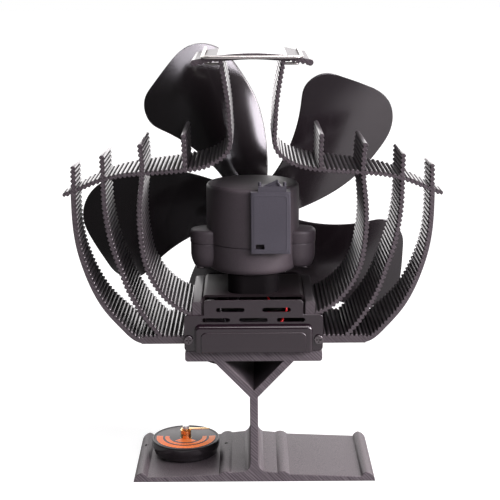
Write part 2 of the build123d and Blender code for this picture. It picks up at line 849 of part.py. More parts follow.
def latch_tab():
    """Clip over the top of the housing and of the lid, with a small finger tab and two posts."""
    side = (latch_center - latch_width / 2, latch_center + latch_width / 2)
    top = housing_top + latch_thickness
    plate = block(side, (latch_near, latch_near + latch_depth), (housing_top, top))
    plate += block(side, (latch_near, -housing_radius - snug_gap), (lid_bottom + lid_height, housing_top))
    half = latch_tab_width / 2
    middle = latch_near + latch_depth / 4
    peak = latch_center + half * latch_peak_share
    tab = face_of([
        Line((latch_center - half, top), (latch_center + half, top)),
        Line((latch_center + half, top), (peak, top + latch_tab_height)),
        Line((peak, top + latch_tab_height), (latch_center - half, top)),
    ])
    plate += along_y(tab, middle - latch_tab_thickness / 2, middle + latch_tab_thickness / 2)
    for x in (side[0] + latch_post_radius, side[1] - latch_post_radius):
        plate += Pos(x, middle, 0) * rod(latch_post_radius, housing_top, top + latch_post_height)
    return plate


def motor_cradle():
    """Saddle in the lower shell that the motor lies in."""
    half_x = cradle_width / 2
    half_y = cradle_depth / 2
    floor = housing_bottom + housing_wall
    saddle = block((-half_x, half_x), (-half_y, half_y), (floor, axis_height - can_radius * cradle_top_share))
    return saddle - on_axis(rod(can_radius + press_gap, -cradle_depth, cradle_depth))


def motor_can():
    """Steel can of the motor, closed at the front by a nose for the bearing."""
    can = rod(can_radius, can_back, can_front) + rod(nose_radius, can_front, can_front + nose_length)
    can -= rod(can_radius - can_wall, can_back - overrun, can_front - can_wall)
    return on_axis(can - rod(bearing_radius + press_gap, 0, can_front + nose_length + overrun))


def motor_end_cap():
    """Moulded end cap that closes the motor can and holds the rear bearing."""
    cap = rod(can_radius, cap_back, can_back)
    return on_axis(cap - rod(bearing_radius + press_gap, cap_back - overrun, can_back + overrun))


def motor_magnets():
    """Two curved magnets stuck inside the can."""
    outer = can_radius - can_wall - press_gap
    length = core_length / 2 + winding_length
    hoop = ring(outer, outer - magnet_thickness, -length, length)
    split = block((-can_radius / 3, can_radius / 3), (-can_radius, can_radius), (-can_length, can_length))
    return on_axis(hoop - split)


def bearing(low):
    """Plain bearing sleeve for the shaft."""
    return on_axis(ring(bearing_radius, shaft_radius + running_gap, low, low + bearing_length))


def front_bearing():
    """Sleeve in the can's nose."""
    return bearing(can_front + nose_length - bearing_length)


def rear_bearing():
    """Sleeve in the end cap."""
    return bearing(cap_back)


def motor_brushes():
    """Two brushes that stand on the end cap beside the commutator."""
    inner = commutator_radius + travel_gap
    height = (can_back, commutator_back() + commutator_length)
    brush = block((inner, inner + brush_thickness), (-brush_width / 2, brush_width / 2), height)
    return on_axis(both_sides(brush))


def core_radius():
    """Radius of the rotor's iron core, inside the magnets."""
    return can_radius - can_wall - magnet_thickness - air_gap


def commutator_back():
    """Place of the commutator's rear end along the shaft."""
    return cap_back + bearing_length + travel_gap


def motor_shaft():
    """Steel shaft through both bearings, the rotor and the blade wheel."""
    return on_axis(rod(shaft_radius, cap_back, nut_front + shaft_tail))


def rotor_core():
    """Slotted iron core on the shaft."""
    core = ring(core_radius(), shaft_radius + press_gap, -core_length / 2, core_length / 2)
    for tooth in range(tooth_count):
        slot = block((core_radius() * tooth_root_share, core_radius() + overrun), (-tooth_gap / 2, tooth_gap / 2),
                     (-core_length, core_length))
        core -= Rot(0, 0, 360 * tooth / tooth_count) * slot
    return on_axis(core)


def rotor_windings():
    """Bundled wire ends on both faces of the core."""
    hoop = ring(winding_radius, shaft_radius + press_gap, 0, winding_length)
    return on_axis(Part() + [
        Pos(0, 0, core_length / 2) * hoop,
        Pos(0, 0, -core_length / 2 - winding_length) * hoop,
    ])


def commutator():
    """Copper drum under the brushes."""
    low = commutator_back()
    return on_axis(ring(commutator_radius, shaft_radius + press_gap, low, low + commutator_length))


def blade_depth(along, across):
    """Distance of a blade's rear face from the hub plane's origin, along the shaft."""
    lean = along / blade_reference_radius - 1
    pitch = blade_pitch_share + blade_twist_share * lean
    camber = blade_camber_share * across ** 2 / (2 * blade_reference_radius)
    free = blade_plane_offset + blade_lean * lean + pitch * across + camber
    radius = sqrt(along ** 2 + across ** 2)
    blend = (radius - blade_flat_radius) / (blade_blend_radius - blade_flat_radius)
    blend = min(max(blend, 0), 1)
    blend = blend * blend * (3 - 2 * blend)
    flat = wheel_offset + (plate_thickness - blade_sheet) / 2
    return flat + blend * (free - flat)


def blade():
    """One curved blade, its length along +X and its rear face towards -Y."""
    rows = 16
    columns = 12
    length_share, width_share = blade_surface_shares
    grid = []
    for row in range(rows + 1):
        along = blade_radius * length_share * row / rows
        line = []
        for column in range(columns + 1):
            across = blade_radius * width_share * (2 * column / columns - 1)
            line.append(Vector(along, blade_depth(along, across), across))
        grid.append(line)
    surface = Face.make_surface_from_array_of_points(grid)
    sheet = Solid.thicken(surface, blade_sheet)
    if sheet.bounding_box().max.Y < surface.bounding_box().max.Y + blade_sheet / 2:
        sheet = Solid.thicken(surface, -blade_sheet)
    points = [(along * blade_radius, across * blade_radius) for along, across in blade_shares]
    outline = face_of([Spline(*points), Line(points[-1], points[0])])
    return along_y(outline, 0, 2 * blade_plane_offset) & sheet


def fan_blades():
    """Stamped wheel of five curved blades on a flat centre plate."""
    part = blade()
    wheel = Rot(-90, 0, 0) * rod(plate_radius, wheel_offset, plate_front)
    for turn in range(blade_count):
        wheel += Rot(0, -blade_first_angle - 360 * turn / blade_count, 0) * part
    bore = rod(shaft_radius + press_gap, wheel_offset - overrun, plate_front + overrun)
    seats = rod(hub_radius + snug_gap, 0, wheel_offset) + rod(nut_radius + snug_gap, plate_front, 2 * plate_front)
    return Pos(0, 0, axis_height) * (wheel - Rot(-90, 0, 0) * (bore + seats))


def blade_hub():
    """Hub behind the blades, clamped on the shaft."""
    low = housing_radius + hub_gap
    hub = rod(hub_radius, low, wheel_offset)
    hub = chamfer(hub.edges().group_by(Axis.Z)[0], hub_radius / 6)
    return on_axis(hub - rod(shaft_radius + press_gap, low - overrun, wheel_offset + overrun))


def hub_nut():
    """Hexagon nut in front of the blades."""
    nut = Pos(0, 0, plate_front) * extrude(RegularPolygon(nut_radius, 6), amount=nut_height)
    return on_axis(nut - rod(shaft_radius + press_gap, plate_front - overrun, nut_front + overrun))


def handle_wire():
    """Wire bail: a bar, two legs over the arch's flanges, and hooked ends that pivot in the arms."""
    side = handle_width / 2
    top = handle_leg_height()
    pin = handle_pin_height()
    edge = arc_center_y + sqrt(sink_front_radius ** 2 - (side - wire_radius) ** 2)
    hook = edge + wire_radius + handle_hook_gap
    right = [
        (handle_pin_inset, handle_pin_y, pin),
        (side, handle_pin_y, pin),
        (side, hook, pin),
        (side, hook, top),
        (side, -handle_reach, top),
    ]
    left = [(-x, y, z) for x, y, z in right]
    bends = [handle_bend_radius] * 3 + [handle_corner_radius]
    path = FilletPolyline(*right, *reversed(left), radius=bends + bends[::-1])
    start = Plane(origin=right[0], z_dir=(1, 0, 0))
    return sweep(start * Circle(wire_radius), path=path)


def lead_radii(points):
    """Bend radii of a lead's route: each arc takes the same share of the shorter of its two runs."""
    radii = []
    for before, corner, after in zip(points, points[1:], points[2:]):
        first = Vector(*corner) - Vector(*before)
        second = Vector(*after) - Vector(*corner)
        turn = first.get_angle(second)
        radii.append(lead_arc_share * min(first.length, second.length) / tan(radians(turn) / 2))
    return radii


def lead(points):
    """Insulated lead along its route."""
    radii = lead_radii(points)
    print("lead radii", [round(radius, 1) for radius in radii])
    path = FilletPolyline(*points, radius=radii)
    start = Plane(origin=points[0], z_dir=Vector(*points[1]) - Vector(*points[0]))
    return sweep(start * Circle(lead_radius), path=path)


def lead_wire_red():
    """Lead on the right-hand side."""
    return lead(lead_route)


def lead_wire_black():
    """Lead on the left-hand side."""
    return lead([(-x, y, z) for x, y, z in lead_route])


def cup_floor():
    """Height of the thermometer's underside, on the highest part of the plate below it."""
    return plate_root_thickness + running_gap


def at_dial(shape):
    """Place a part of the thermometer on the foot."""
    return Pos(dial_x, dial_y, cup_floor()) * shape


def thermometer_cup():
    """Round case of the thermometer."""
    cup = rod(cup_radius, 0, cup_height)
    cup = chamfer(cup.edges().group_by(Axis.Z)[0], cup_taper_height, cup_taper, reference=side_of(cup))
    return at_dial(cup - rod(cup_radius - cup_wall, cup_wall, cup_height + overrun))


def thermometer_bezel():
    """Polished ring on the case's rim."""
    top = cup_height + bezel_thickness
    hoop = rod(cup_radius, cup_height, top)
    hoop = fillet(hoop.edges().group_by(Axis.Z)[-1], bezel_thickness / 2)
    return at_dial(hoop - rod(cup_radius - bezel_width, cup_height - overrun, top + overrun))


def thermometer_dial():
    """Printed dial plate, sunk inside the bezel."""
    low = cup_height - dial_drop
    radius = cup_radius - cup_wall - snug_gap
    return at_dial(ring(radius, post_radius + snug_gap, low, low + dial_thickness))


def thermometer_magnet():
    """Magnet ring on the case's floor that holds the thermometer on steel."""
    return at_dial(ring(magnet_outer_radius, magnet_inner_radius, cup_wall, cup_wall + magnet_height))


def thermometer_post():
    """Brass post with a bore for the spindle and a small foot flange."""
    bore = spindle_radius + running_gap
    post = rod(post_radius, cup_wall + coil_height + 2 * travel_gap, post_height)
    low = cup_height - dial_drop + dial_thickness
    post += rod(post_flange_radius, low, low + post_flange_height)
    return at_dial(post - rod(bore, 0, post_height + overrun))


def bimetal_coil():
    """Bimetal spring under the post, shown as a ring."""
    inner = coil_radius - coil_turns_width
    return at_dial(ring(coil_radius, inner, cup_wall, cup_wall + coil_height + 2 * travel_gap))


def pointer_floor():
    """Height of the pointer's underside above the case's floor."""
    return post_height + pointer_lift


def thermometer_spindle():
    """Spindle that the bimetal spring turns."""
    low = cup_wall + travel_gap
    return at_dial(rod(spindle_radius, low, pointer_floor() + pointer_thickness + cap_height / 2))


def thermometer_pointer():
    """Brass pointer: an eye round the spindle and a tapered arm towards +X."""
    low = pointer_floor()
    half = pointer_width / 2
    arm = face_of([
        Line((0, -half), (pointer_length, -half / 3)),
        Line((pointer_length, -half / 3), (pointer_length, half / 3)),
        Line((pointer_length, half / 3), (0, half)),
        Line((0, half), (0, -half)),
    ])
    pointer = rod(pointer_eye_radius, low, low + pointer_thickness)
    pointer += Pos(0, 0, low) * extrude(arm, amount=pointer_thickness, dir=(0, 0, 1))
    return at_dial(pointer - rod(spindle_radius + press_gap, low - overrun, low + pointer_thickness + overrun))


def pointer_cap():
    """Silver cap on top of the spindle."""
    low = pointer_floor() + pointer_thickness
    cap = rod(cap_radius, low, low + cap_height)
    cap = fillet(cap.edges().group_by(Axis.Z)[-1], cap_height / 3)
    return at_dial(cap - rod(spindle_radius + press_gap, low - overrun, low + cap_height / 2 + press_gap))


pieces = [
    heat_collector_foot,
    thermal_pads,
    teg_ceramic_plates,
    teg_elements,
    insulation_gasket,
    clamp_washers,
    clamp_screws,
    heat_sink,
    rear_cover,
    front_cover,
    cover_screws,
    motor_bracket,
    bracket_screws,
    motor_pedestal,
    pedestal_screws,
    housing_lower_shell,
    housing_upper_shell,
    housing_screws,
    box_cover,
    latch_tab,
    motor_cradle,
    motor_can,
    motor_end_cap,
    motor_magnets,
    front_bearing,
    rear_bearing,
    motor_brushes,
    lead_wire_red,
    lead_wire_black,
    motor_shaft,
    rotor_core,
    rotor_windings,
    commutator,
    fan_blades,
    blade_hub,
    hub_nut,
    handle_wire,
    thermometer_cup,
    thermometer_bezel,
    thermometer_dial,
    thermometer_magnet,
    thermometer_post,
    bimetal_coil,
    thermometer_spindle,
    thermometer_pointer,
    pointer_cap,
]

os.makedirs("parts", exist_ok=True)
for piece in pieces:
    export_step(piece(), "parts/" + piece.__name__ + ".step")
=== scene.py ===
# %% [markdown]
# # A stove fan, dressed for the camera
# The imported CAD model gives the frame: where every piece is and how it moves. This lesson puts
# better surfaces on it. The heat sink, the foot, the blades, the housing, the handle and most of the
# thermometer get new meshes worked out with numpy. The lid, the latch and the sheet parts are
# softened copies, and the small parts keep their CAD meshes with new finishes.

# %% load the frame
import json
from math import cos, pi, radians, sin
import bmesh
import bpy
import numpy as np
from mathutils import Matrix, Vector

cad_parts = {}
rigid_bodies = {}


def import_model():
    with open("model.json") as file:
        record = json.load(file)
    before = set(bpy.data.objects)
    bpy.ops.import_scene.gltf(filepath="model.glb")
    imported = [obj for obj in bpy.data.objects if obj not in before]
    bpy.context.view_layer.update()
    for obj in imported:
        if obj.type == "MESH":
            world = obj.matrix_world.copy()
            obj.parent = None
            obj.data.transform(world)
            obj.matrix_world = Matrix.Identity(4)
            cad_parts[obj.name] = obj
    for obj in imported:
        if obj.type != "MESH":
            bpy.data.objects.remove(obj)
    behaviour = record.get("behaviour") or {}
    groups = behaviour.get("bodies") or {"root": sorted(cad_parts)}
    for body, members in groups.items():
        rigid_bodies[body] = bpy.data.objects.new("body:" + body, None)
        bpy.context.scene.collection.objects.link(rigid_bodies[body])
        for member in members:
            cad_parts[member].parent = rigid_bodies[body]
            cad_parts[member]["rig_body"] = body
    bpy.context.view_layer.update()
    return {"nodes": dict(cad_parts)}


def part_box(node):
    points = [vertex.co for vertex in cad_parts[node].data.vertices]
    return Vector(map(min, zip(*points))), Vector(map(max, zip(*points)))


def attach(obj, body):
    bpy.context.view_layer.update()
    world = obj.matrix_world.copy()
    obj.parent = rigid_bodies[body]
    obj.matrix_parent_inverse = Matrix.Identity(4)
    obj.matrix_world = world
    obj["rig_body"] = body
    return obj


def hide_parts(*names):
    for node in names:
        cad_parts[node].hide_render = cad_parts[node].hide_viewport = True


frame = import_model()
nodes = frame["nodes"]
mm = 0.001

# %% [markdown]
# ## The camera
# The photograph was taken from a little above, close to straight on, with a long lens. A camera
# could be aimed at the middle of the fan by eye. Here its place, tilt and slight roll are given as
# numbers, found by matching corners of the heat sink, so that edges fall where the photograph has them.


# %% camera
def link(thing):
    """Put an object into the scene and return it."""
    bpy.context.scene.collection.objects.link(thing)
    return thing


camera_data = bpy.data.cameras.new("camera")
camera_data.lens = 91.64
camera_data.sensor_width = 36.0
camera = link(bpy.data.objects.new("camera", camera_data))
camera_place = (-0.0011, -0.6495, 0.2667)
pan, tilt, roll = 0.04, -12.95, -0.36
aim = Matrix.Rotation(radians(pan), 4, "Z") @ Matrix.Rotation(radians(90 + tilt), 4, "X")
aim = aim @ Matrix.Rotation(radians(roll), 4, "Z")
camera.matrix_world = Matrix.Translation(camera_place) @ aim
bpy.context.scene.camera = camera
bpy.context.scene.view_settings.view_transform = "Standard"
print("camera", [round(value, 4) for value in camera.location])

# %% [markdown]
# ## Helpers for shader nodes
# Every finish is a Principled shader fed by small node groups. A group could be pasted into each
# material by hand, but one group that several materials share keeps the finishes consistent.


# %% node helpers
def feed(node, values):
    """Fill a node's inputs: each value is a number, a vector, a colour or another node's output."""
    for key, value in values.items():
        if isinstance(value, bpy.types.NodeSocket):
            node.id_data.links.new(value, node.inputs[key])
        else:
            node.inputs[key].default_value = value
    return node


def add_node(tree, kind, values=None, **settings):
    """Add a shader node, set its plain properties and fill its inputs."""
    node = tree.nodes.new("ShaderNode" + kind)
    for key, value in settings.items():
        setattr(node, key, value)
    return feed(node, values or {})


def math_node(operation, first, second=0.0):
    """Result of a Math node on two numbers or outputs, in the node tree of the first output."""
    tree = (first if isinstance(first, bpy.types.NodeSocket) else second).id_data
    return add_node(tree, "Math", {0: first, 1: second}, operation=operation).outputs[0]


def noise(place, scale, detail):
    """Value of a noise texture."""
    values = {"Vector": place, "Scale": scale, "Detail": detail}
    return add_node(place.id_data, "TexNoise", values).outputs["Fac"]


def map_range(value, low, high, to_low=0.0, to_high=1.0, kind="LINEAR"):
    """Value carried from one range to another and kept inside it."""
    values = {"Value": value, "From Min": low, "From Max": high, "To Min": to_low, "To Max": to_high}
    return add_node(value.id_data, "MapRange", values, interpolation_type=kind).outputs["Result"]


def mix_color(share, first, second):
    """Colour between the first at share 0 and the second at share 1."""
    values = {"Fac": share, "Color1": first, "Color2": second}
    return add_node(share.id_data, "MixRGB", values).outputs["Color"]


def scaled_color(color, factor):
    """Colour times a factor."""
    values = {0: color, "Scale": factor}
    return add_node(color.id_data, "VectorMath", values, operation="SCALE").outputs["Vector"]


def color_ramp(share, *stops):
    """Colour of a ramp between two stops, each a position and a colour."""
    node = add_node(share.id_data, "ValToRGB", {"Fac": share})
    for element, (position, color) in zip(node.color_ramp.elements, stops):
        element.position = position
        element.color = (*color, 1)
    return node.outputs["Color"]


def bump(height, shader, distance):
    """Bump node between a height and the shader's normal."""
    node = add_node(shader.id_data, "Bump", {"Height": height, "Strength": 1.0, "Distance": distance})
    feed(shader, {"Normal": node.outputs["Normal"]})


def new_group(name, inputs, outputs):
    """Node group with named inputs, which are numbers or colours as their defaults are, and outputs."""
    tree = bpy.data.node_groups.new(name, "ShaderNodeTree")
    for label, default in inputs.items():
        kind = "NodeSocketFloat" if isinstance(default, float) else "NodeSocketColor"
        tree.interface.new_socket(name=label, in_out="INPUT", socket_type=kind).default_value = default
    for label in outputs:
        kind = "NodeSocketColor" if label == "Color" else "NodeSocketFloat"
        tree.interface.new_socket(name=label, in_out="OUTPUT", socket_type=kind)
    return tree, tree.nodes.new("NodeGroupInput").outputs, tree.nodes.new("NodeGroupOutput")


def place_group(tree, group, values):
    """Outputs of a node group placed in a material with its own values."""
    return add_node(tree, "Group", values, node_tree=group).outputs


def new_material(name, **constants):
    """Material with a Principled shader; the constants go straight on its sockets."""
    material = bpy.data.materials.new(name)
    material.use_nodes = True
    tree = material.node_tree
    values = {key.replace("_", " "): value for key, value in constants.items()}
    return material, tree, feed(tree.nodes["Principled BSDF"], values)


# %% [markdown]
# ## A grain that every finish shares
# No real surface has one flat colour. The group mixes two close colours with a slow cloud of
# noise, varies the roughness with the same cloud, and adds a fine grain as a height.


# %% grain group
def grain_group():
    """Slow noise mixes the two colours; fine noise speckles them and is also the Height."""
    tree, start, end = new_group(
        "surface_grain",
        {
            "Color A": (0.1, 0.1, 0.1, 1), "Color B": (0.2, 0.2, 0.2, 1), "Mottle Scale": 40.0,
            "Grain Scale": 1500.0, "Roughness Low": 0.3, "Roughness High": 0.5, "Speckle": 0.6,
        },
        ["Color", "Roughness", "Height"],
    )
    place = add_node(tree, "TexCoord").outputs["Object"]
    slow = noise(place, start["Mottle Scale"], 3.0)
    fine = noise(place, start["Grain Scale"], 2.0)
    mixed = mix_color(slow, start["Color A"], start["Color B"])
    speck = math_node("MULTIPLY", math_node("SUBTRACT", fine, 0.5), start["Speckle"])
    feed(end, {
        "Color": scaled_color(mixed, math_node("ADD", speck, 1.0)),
        "Roughness": map_range(slow, 0.0, 1.0, start["Roughness Low"], start["Roughness High"]),
        "Height": fine,
    })
    return tree


surface_grain = grain_group()


def grain_in(tree, color_a, color_b, roughness, scales, speckle=0.6):
    """Outputs of the shared grain in a material: two colours, a roughness range and two noise scales."""
    return place_group(tree, surface_grain, {
        "Color A": (*color_a, 1), "Color B": (*color_b, 1), "Mottle Scale": scales[0],
        "Grain Scale": scales[1], "Roughness Low": roughness[0], "Roughness High": roughness[1],
        "Speckle": speckle,
    })


def finish(name, color_a, color_b, roughness, scales, depth, **constants):
    """Material of one finish: the shared grain with its own colours, roughness, scales and depth."""
    material, tree, shader = new_material(name, **constants)
    grain = grain_in(tree, color_a, color_b, roughness, scales)
    feed(shader, {"Base Color": grain["Color"], "Roughness": grain["Roughness"]})
    bump(grain["Height"], shader, depth)
    return material


# %% [markdown]
# ## Black anodised aluminium
# The foot and the heat sink are extrusions that were sawn to length and then anodised black. Their
# sawn ends show slanting blade marks. The valleys between the ribs are duller and carry painted
# shade: a darker base colour that stands in for the shade falling into them. The normal tells a sawn
# face, which looks along Y, and an attribute of the mesh tells a valley.

# %% sawn ends and valleys
sawn_facing = (0.8, 0.95)
slant_ways = ((0.707, 0.0, 0.707), (0.0424, 0.0, -0.0424))
wave_share = 0.13


def saw_group():
    """Slanting saw marks: a sine across the slant, broken up by noise that is stretched along it.

    Mask = 1 on faces that look along Y; Streak = the marks; Height = the marks inside the mask."""
    tree, start, end = new_group(
        "sawn_end", {"Pitch": 0.00125, "Noise Scale": 1200.0}, ["Mask", "Height", "Streak"],
    )
    place = add_node(tree, "TexCoord").outputs
    facing = add_node(tree, "SeparateXYZ", {"Vector": place["Normal"]}).outputs["Y"]
    mask = map_range(math_node("ABSOLUTE", facing), *sawn_facing)
    slants = []
    for direction in slant_ways:
        product = add_node(tree, "VectorMath", {0: place["Object"], 1: direction}, operation="DOT_PRODUCT")
        slants.append(product.outputs["Value"])
    turns = math_node("DIVIDE", slants[0], start["Pitch"])
    wave = math_node("SINE", math_node("MULTIPLY", turns, 2 * pi))
    spot = add_node(tree, "CombineXYZ", {"X": slants[0], "Y": slants[1]}).outputs["Vector"]
    lines = noise(spot, start["Noise Scale"], 4.0)
    marks = math_node("ADD", lines, math_node("MULTIPLY", wave, wave_share))
    feed(end, {"Mask": mask, "Height": math_node("MULTIPLY", marks, mask), "Streak": marks})
    return tree


def valley_group():
    """Open = 0 in the valleys between ribs, 1 on crests and on sawn faces, from the crest attribute."""
    tree, start, end = new_group("rib_valley", {"Low": 0.3, "High": 0.85, "Sawn": 0.0}, ["Open"])
    crest = add_node(tree, "Attribute", attribute_name="crest").outputs["Fac"]
    spread = map_range(crest, start["Low"], start["High"], kind="SMOOTHSTEP")
    feed(end, {"Open": math_node("MAXIMUM", spread, start["Sawn"])})
    return tree


sawn_end = saw_group()
rib_valley = valley_group()

# %% anodised finish
# Share of the base colour left at the bottom of a rib valley by the painted shade.
valley_shade_floor = 0.15
valley_dullness = 0.4
saw_depth = 3.0


def anodised(name, long_a, long_b, cut_a, cut_b, roughness, speckle, gloss):
    """Anodised extrusion: one colour pair on the long faces and another, in streaks, on the sawn ends.

    The gloss is the weight of the smooth sealed skin, which is a coat over the duller metal."""
    material, tree, shader = new_material(name, Metallic=0.3, Coat_Roughness=0.2)
    grain = grain_in(tree, long_a, long_b, roughness, (55.0, 2200.0), speckle)
    saw = place_group(tree, sawn_end, {"Pitch": 0.00125, "Noise Scale": 1200.0})
    streaks = color_ramp(saw["Streak"], (0.3, cut_a), (0.72, cut_b))
    skin = mix_color(saw["Mask"], grain["Color"], streaks)
    valley = place_group(tree, rib_valley, {"Low": 0.42, "High": 0.92, "Sawn": saw["Mask"]})["Open"]
    # Painted shade: the base colour is darkened in the rib valleys for the shade that falls into them; the
    # valleys are also duller and lose the coat.
    painted_valley_shade = math_node("ADD", math_node("MULTIPLY", valley, 1 - valley_shade_floor), valley_shade_floor)
    dull = math_node("MULTIPLY", math_node("SUBTRACT", 1.0, valley), valley_dullness)
    cuts = math_node("MULTIPLY", saw["Height"], saw_depth)
    feed(shader, {
        "Base Color": scaled_color(skin, painted_valley_shade),
        "Coat Weight": math_node("MULTIPLY", valley, gloss),
        "Roughness": math_node("ADD", grain["Roughness"], dull),
    })
    bump(math_node("ADD", grain["Height"], cuts), shader, 2e-5)
    return material


black_extrusion = anodised(
    "black_extrusion", (0.046, 0.037, 0.042), (0.072, 0.060, 0.067), (0.050, 0.039, 0.045),
    (0.092, 0.077, 0.086), (0.38, 0.46), speckle=0.8, gloss=0.8,
)
foot_extrusion = anodised(
    "foot_extrusion", (0.080, 0.068, 0.074), (0.110, 0.095, 0.102), (0.070, 0.058, 0.066),
    (0.170, 0.150, 0.162), (0.48, 0.58), speckle=2.4, gloss=0.0,
)
print("finishes", black_extrusion.name, foot_extrusion.name)

# %% [markdown]
# ## From rings of points to a closed piece
# A profile carried along a path gives a grid: one ring of points for each step. The grid's quads
# and a cap at each end close it, and in a hoop the last ring meets the first. The sign of its
# volume tells if the faces point inwards, and then they are all turned round at once.


# %% mesh helpers
def grid_faces(rows, columns, closed):
    """Quads between neighbouring rings, joined round each ring, and the caps of a piece with ends."""
    index = np.arange(rows * columns).reshape(rows, columns)
    caps = [] if closed else [index[0][::-1], index[-1]]
    if closed:
        index = np.vstack([index, index[:1]])
    right = np.roll(index, -1, axis=1)
    quads = np.stack([index[:-1], right[:-1], right[1:], index[1:]], axis=-1).reshape(-1, 4)
    return quads, caps


def volume_of(points, quads, caps):
    """Sum of the signed volumes between the middle of the piece and each triangle of its faces."""
    place = points - points.mean(axis=0)
    triangles = [quads[:, [0, 1, 2]], quads[:, [0, 2, 3]]]
    for cap in caps:
        triangles.append(np.stack([np.full(len(cap) - 2, cap[0]), cap[1:-1], cap[2:]], axis=-1))
    corners = place[np.concatenate(triangles)]
    return np.einsum("ij,ij->", corners[:, 0], np.cross(corners[:, 1], corners[:, 2])) / 6


def new_piece(name, mesh, material, sharp):
    """Object of a mesh, shaded smooth except at edges sharper than an angle."""
    mesh.shade_smooth()
    mesh.set_sharp_from_angle(angle=radians(sharp))
    mesh.materials.append(material)
    return link(bpy.data.objects.new(name, mesh))


def settle(piece, body, stands_for):
    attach(piece, body)
    if stands_for:
        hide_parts(*stands_for)


def add_piece(name, grids, material, body, stands_for=(), sharp=32.0, closed=False):
    """One object from several grids of rings, which have caps unless they are closed hoops.

    A fourth number at each point says how near it lies to the crest of a rib, for the finish,
    which paints shade into the valleys."""
    points = []
    crests = []
    faces = []
    start = 0
    for grid in grids:
        flat = grid[..., :3].reshape(-1, 3)
        quads, caps = grid_faces(*grid.shape[:2], closed)
        if volume_of(flat, quads, caps) < 0:
            quads = quads[:, ::-1]
            caps = [cap[::-1] for cap in caps]
        faces += (quads + start).tolist() + [(cap + start).tolist() for cap in caps]
        points.append(flat)
        crests.append(grid[..., 3].ravel() if grid.shape[2] == 4 else np.ones(len(flat)))
        start += len(flat)
    mesh = bpy.data.meshes.new(name)
    mesh.from_pydata(np.concatenate(points).tolist(), [], faces)
    crest = mesh.attributes.new("crest", "FLOAT", "POINT")
    crest.data.foreach_set("value", np.concatenate(crests).astype(np.float32))
    settle(new_piece(name, mesh, material, sharp), body, stands_for)
    print(name, "points", start, "triangles", sum(len(face) - 2 for face in faces))


def moved(grid, x, y, z=0.0):
    """The same grid at another place, in metres."""
    return (grid + (x, y, z)) * mm


def revolved(profile, count=96):
    """Rings of a (radius, height) profile turned about the Z axis; each profile point makes one ring."""
    turn = np.linspace(0, 2 * pi, count, endpoint=False)
    radius, height = np.array(profile, float).T
    x = radius[:, None] * np.cos(turn)
    y = radius[:, None] * np.sin(turn)
    return np.stack([x, y, np.repeat(height[:, None], count, axis=1)], axis=-1)


def hoop(profile):
    """Rings of a closed profile carried round the Z axis; each step of the turn makes one ring."""
    return np.swapaxes(revolved(profile), 0, 1)


# %% [markdown]
# ## Smooth lines
# The fins of the extrusion are curved strips. Their middle lines go through a few measured
# points, and a natural cubic spline is the smoothest curve through them: its bending changes
# evenly, as a bent ruler does.


# %% spline helpers
def lengths(line):
    """Distance along a line from its start to each of its points."""
    return np.concatenate([[0], np.cumsum(np.linalg.norm(np.diff(line, axis=0), axis=1))])


def headings(line):
    """Unit direction of a line at each of its points."""
    slope = np.gradient(line, axis=0)
    return slope / np.linalg.norm(slope, axis=1, keepdims=True)


def smooth_line(points, spacing):
    """Natural cubic spline through points, as places an even spacing apart.

    The second slopes m solve h0*m0 + 2(h0+h1)*m1 + h1*m2 = 6*(rise1/h1 - rise0/h0) at each inner
    point, with m = 0 at both ends. Between two points the curve is the cubic that these slopes fix."""
    knots = np.array(points, float)
    rises = np.diff(knots, axis=0)
    gaps = np.linalg.norm(rises, axis=1)
    count = len(knots)
    system = np.eye(count)
    pull = np.zeros_like(knots)
    inner = np.arange(1, count - 1)
    system[inner, inner - 1] = gaps[:-1]
    system[inner, inner] = 2 * (gaps[:-1] + gaps[1:])
    system[inner, inner + 1] = gaps[1:]
    pull[1:-1] = 6 * np.diff(rises / gaps[:, None], axis=0)
    bend = np.linalg.solve(system, pull)
    at = lengths(knots)
    fine = np.linspace(0, at[-1], 60 * count)
    span = np.clip(np.searchsorted(at, fine, side="right") - 1, 0, count - 2)
    gap = gaps[span][:, None]
    before = (fine - at[span])[:, None]
    after = gap - before
    line = bend[span] * after ** 3 / (6 * gap) + bend[span + 1] * before ** 3 / (6 * gap)
    line += (knots[span] / gap - bend[span] * gap / 6) * after
    line += (knots[span + 1] / gap - bend[span + 1] * gap / 6) * before
    length = lengths(line)
    even = np.linspace(0, length[-1], int(round(length[-1] / spacing)) + 1)
    return np.column_stack([np.interp(even, length, line[:, axis]) for axis in range(line.shape[1])])


# %% [markdown]
# ## Strips of the extrusion
# Each fin is the space between two lines in the X and Z plane, run along Y. Eight points make each
# ring: the two lines at both ends in Y, and a fine chamfer inside each, because a sawn and tumbled
# edge is never perfectly sharp and its glint draws the outline.

# %% strip helper
foot_depth = 58.6
sink_width = 188.4
sink_depth = 58.6
sink_rise = 146.3
sink_floor = 75.3
sink_front_radius = 121.3
rib_depth = 0.95
rib_pitch = 2.32


def strip(left, right, near, far, chamfer=0.25, left_crest=1.0, right_crest=1.0):
    """Rings between two (X, Z) lines: each goes from the near sawn face to the far one and back.

    The crest of each face, from 0 to 1, goes with the points as a fourth number."""
    span = right - left
    width = np.linalg.norm(span, axis=1)
    cut = np.minimum(chamfer, 0.3 * width)
    step = span / np.maximum(width, 1e-6)[:, None] * cut[:, None]
    lines = [left, left + step, right - step, right]
    cuts = [cut, 0 * cut, 0 * cut, cut]
    columns = [(line, near + inset) for line, inset in zip(lines, cuts)]
    columns += [(line, far(line[:, 0]) - inset) for line, inset in zip(lines[::-1], cuts)]
    grid = np.stack([np.column_stack([line[:, 0], y, line[:, 1]]) for line, y in columns], axis=1) * mm
    crest = np.ones((len(left), 8, 1))
    crest[:, [0, 1, 6, 7], 0] = np.broadcast_to(left_crest, len(left))[:, None]
    crest[:, 2:6, 0] = np.broadcast_to(right_crest, len(left))[:, None]
    return np.concatenate([grid, crest], axis=2)


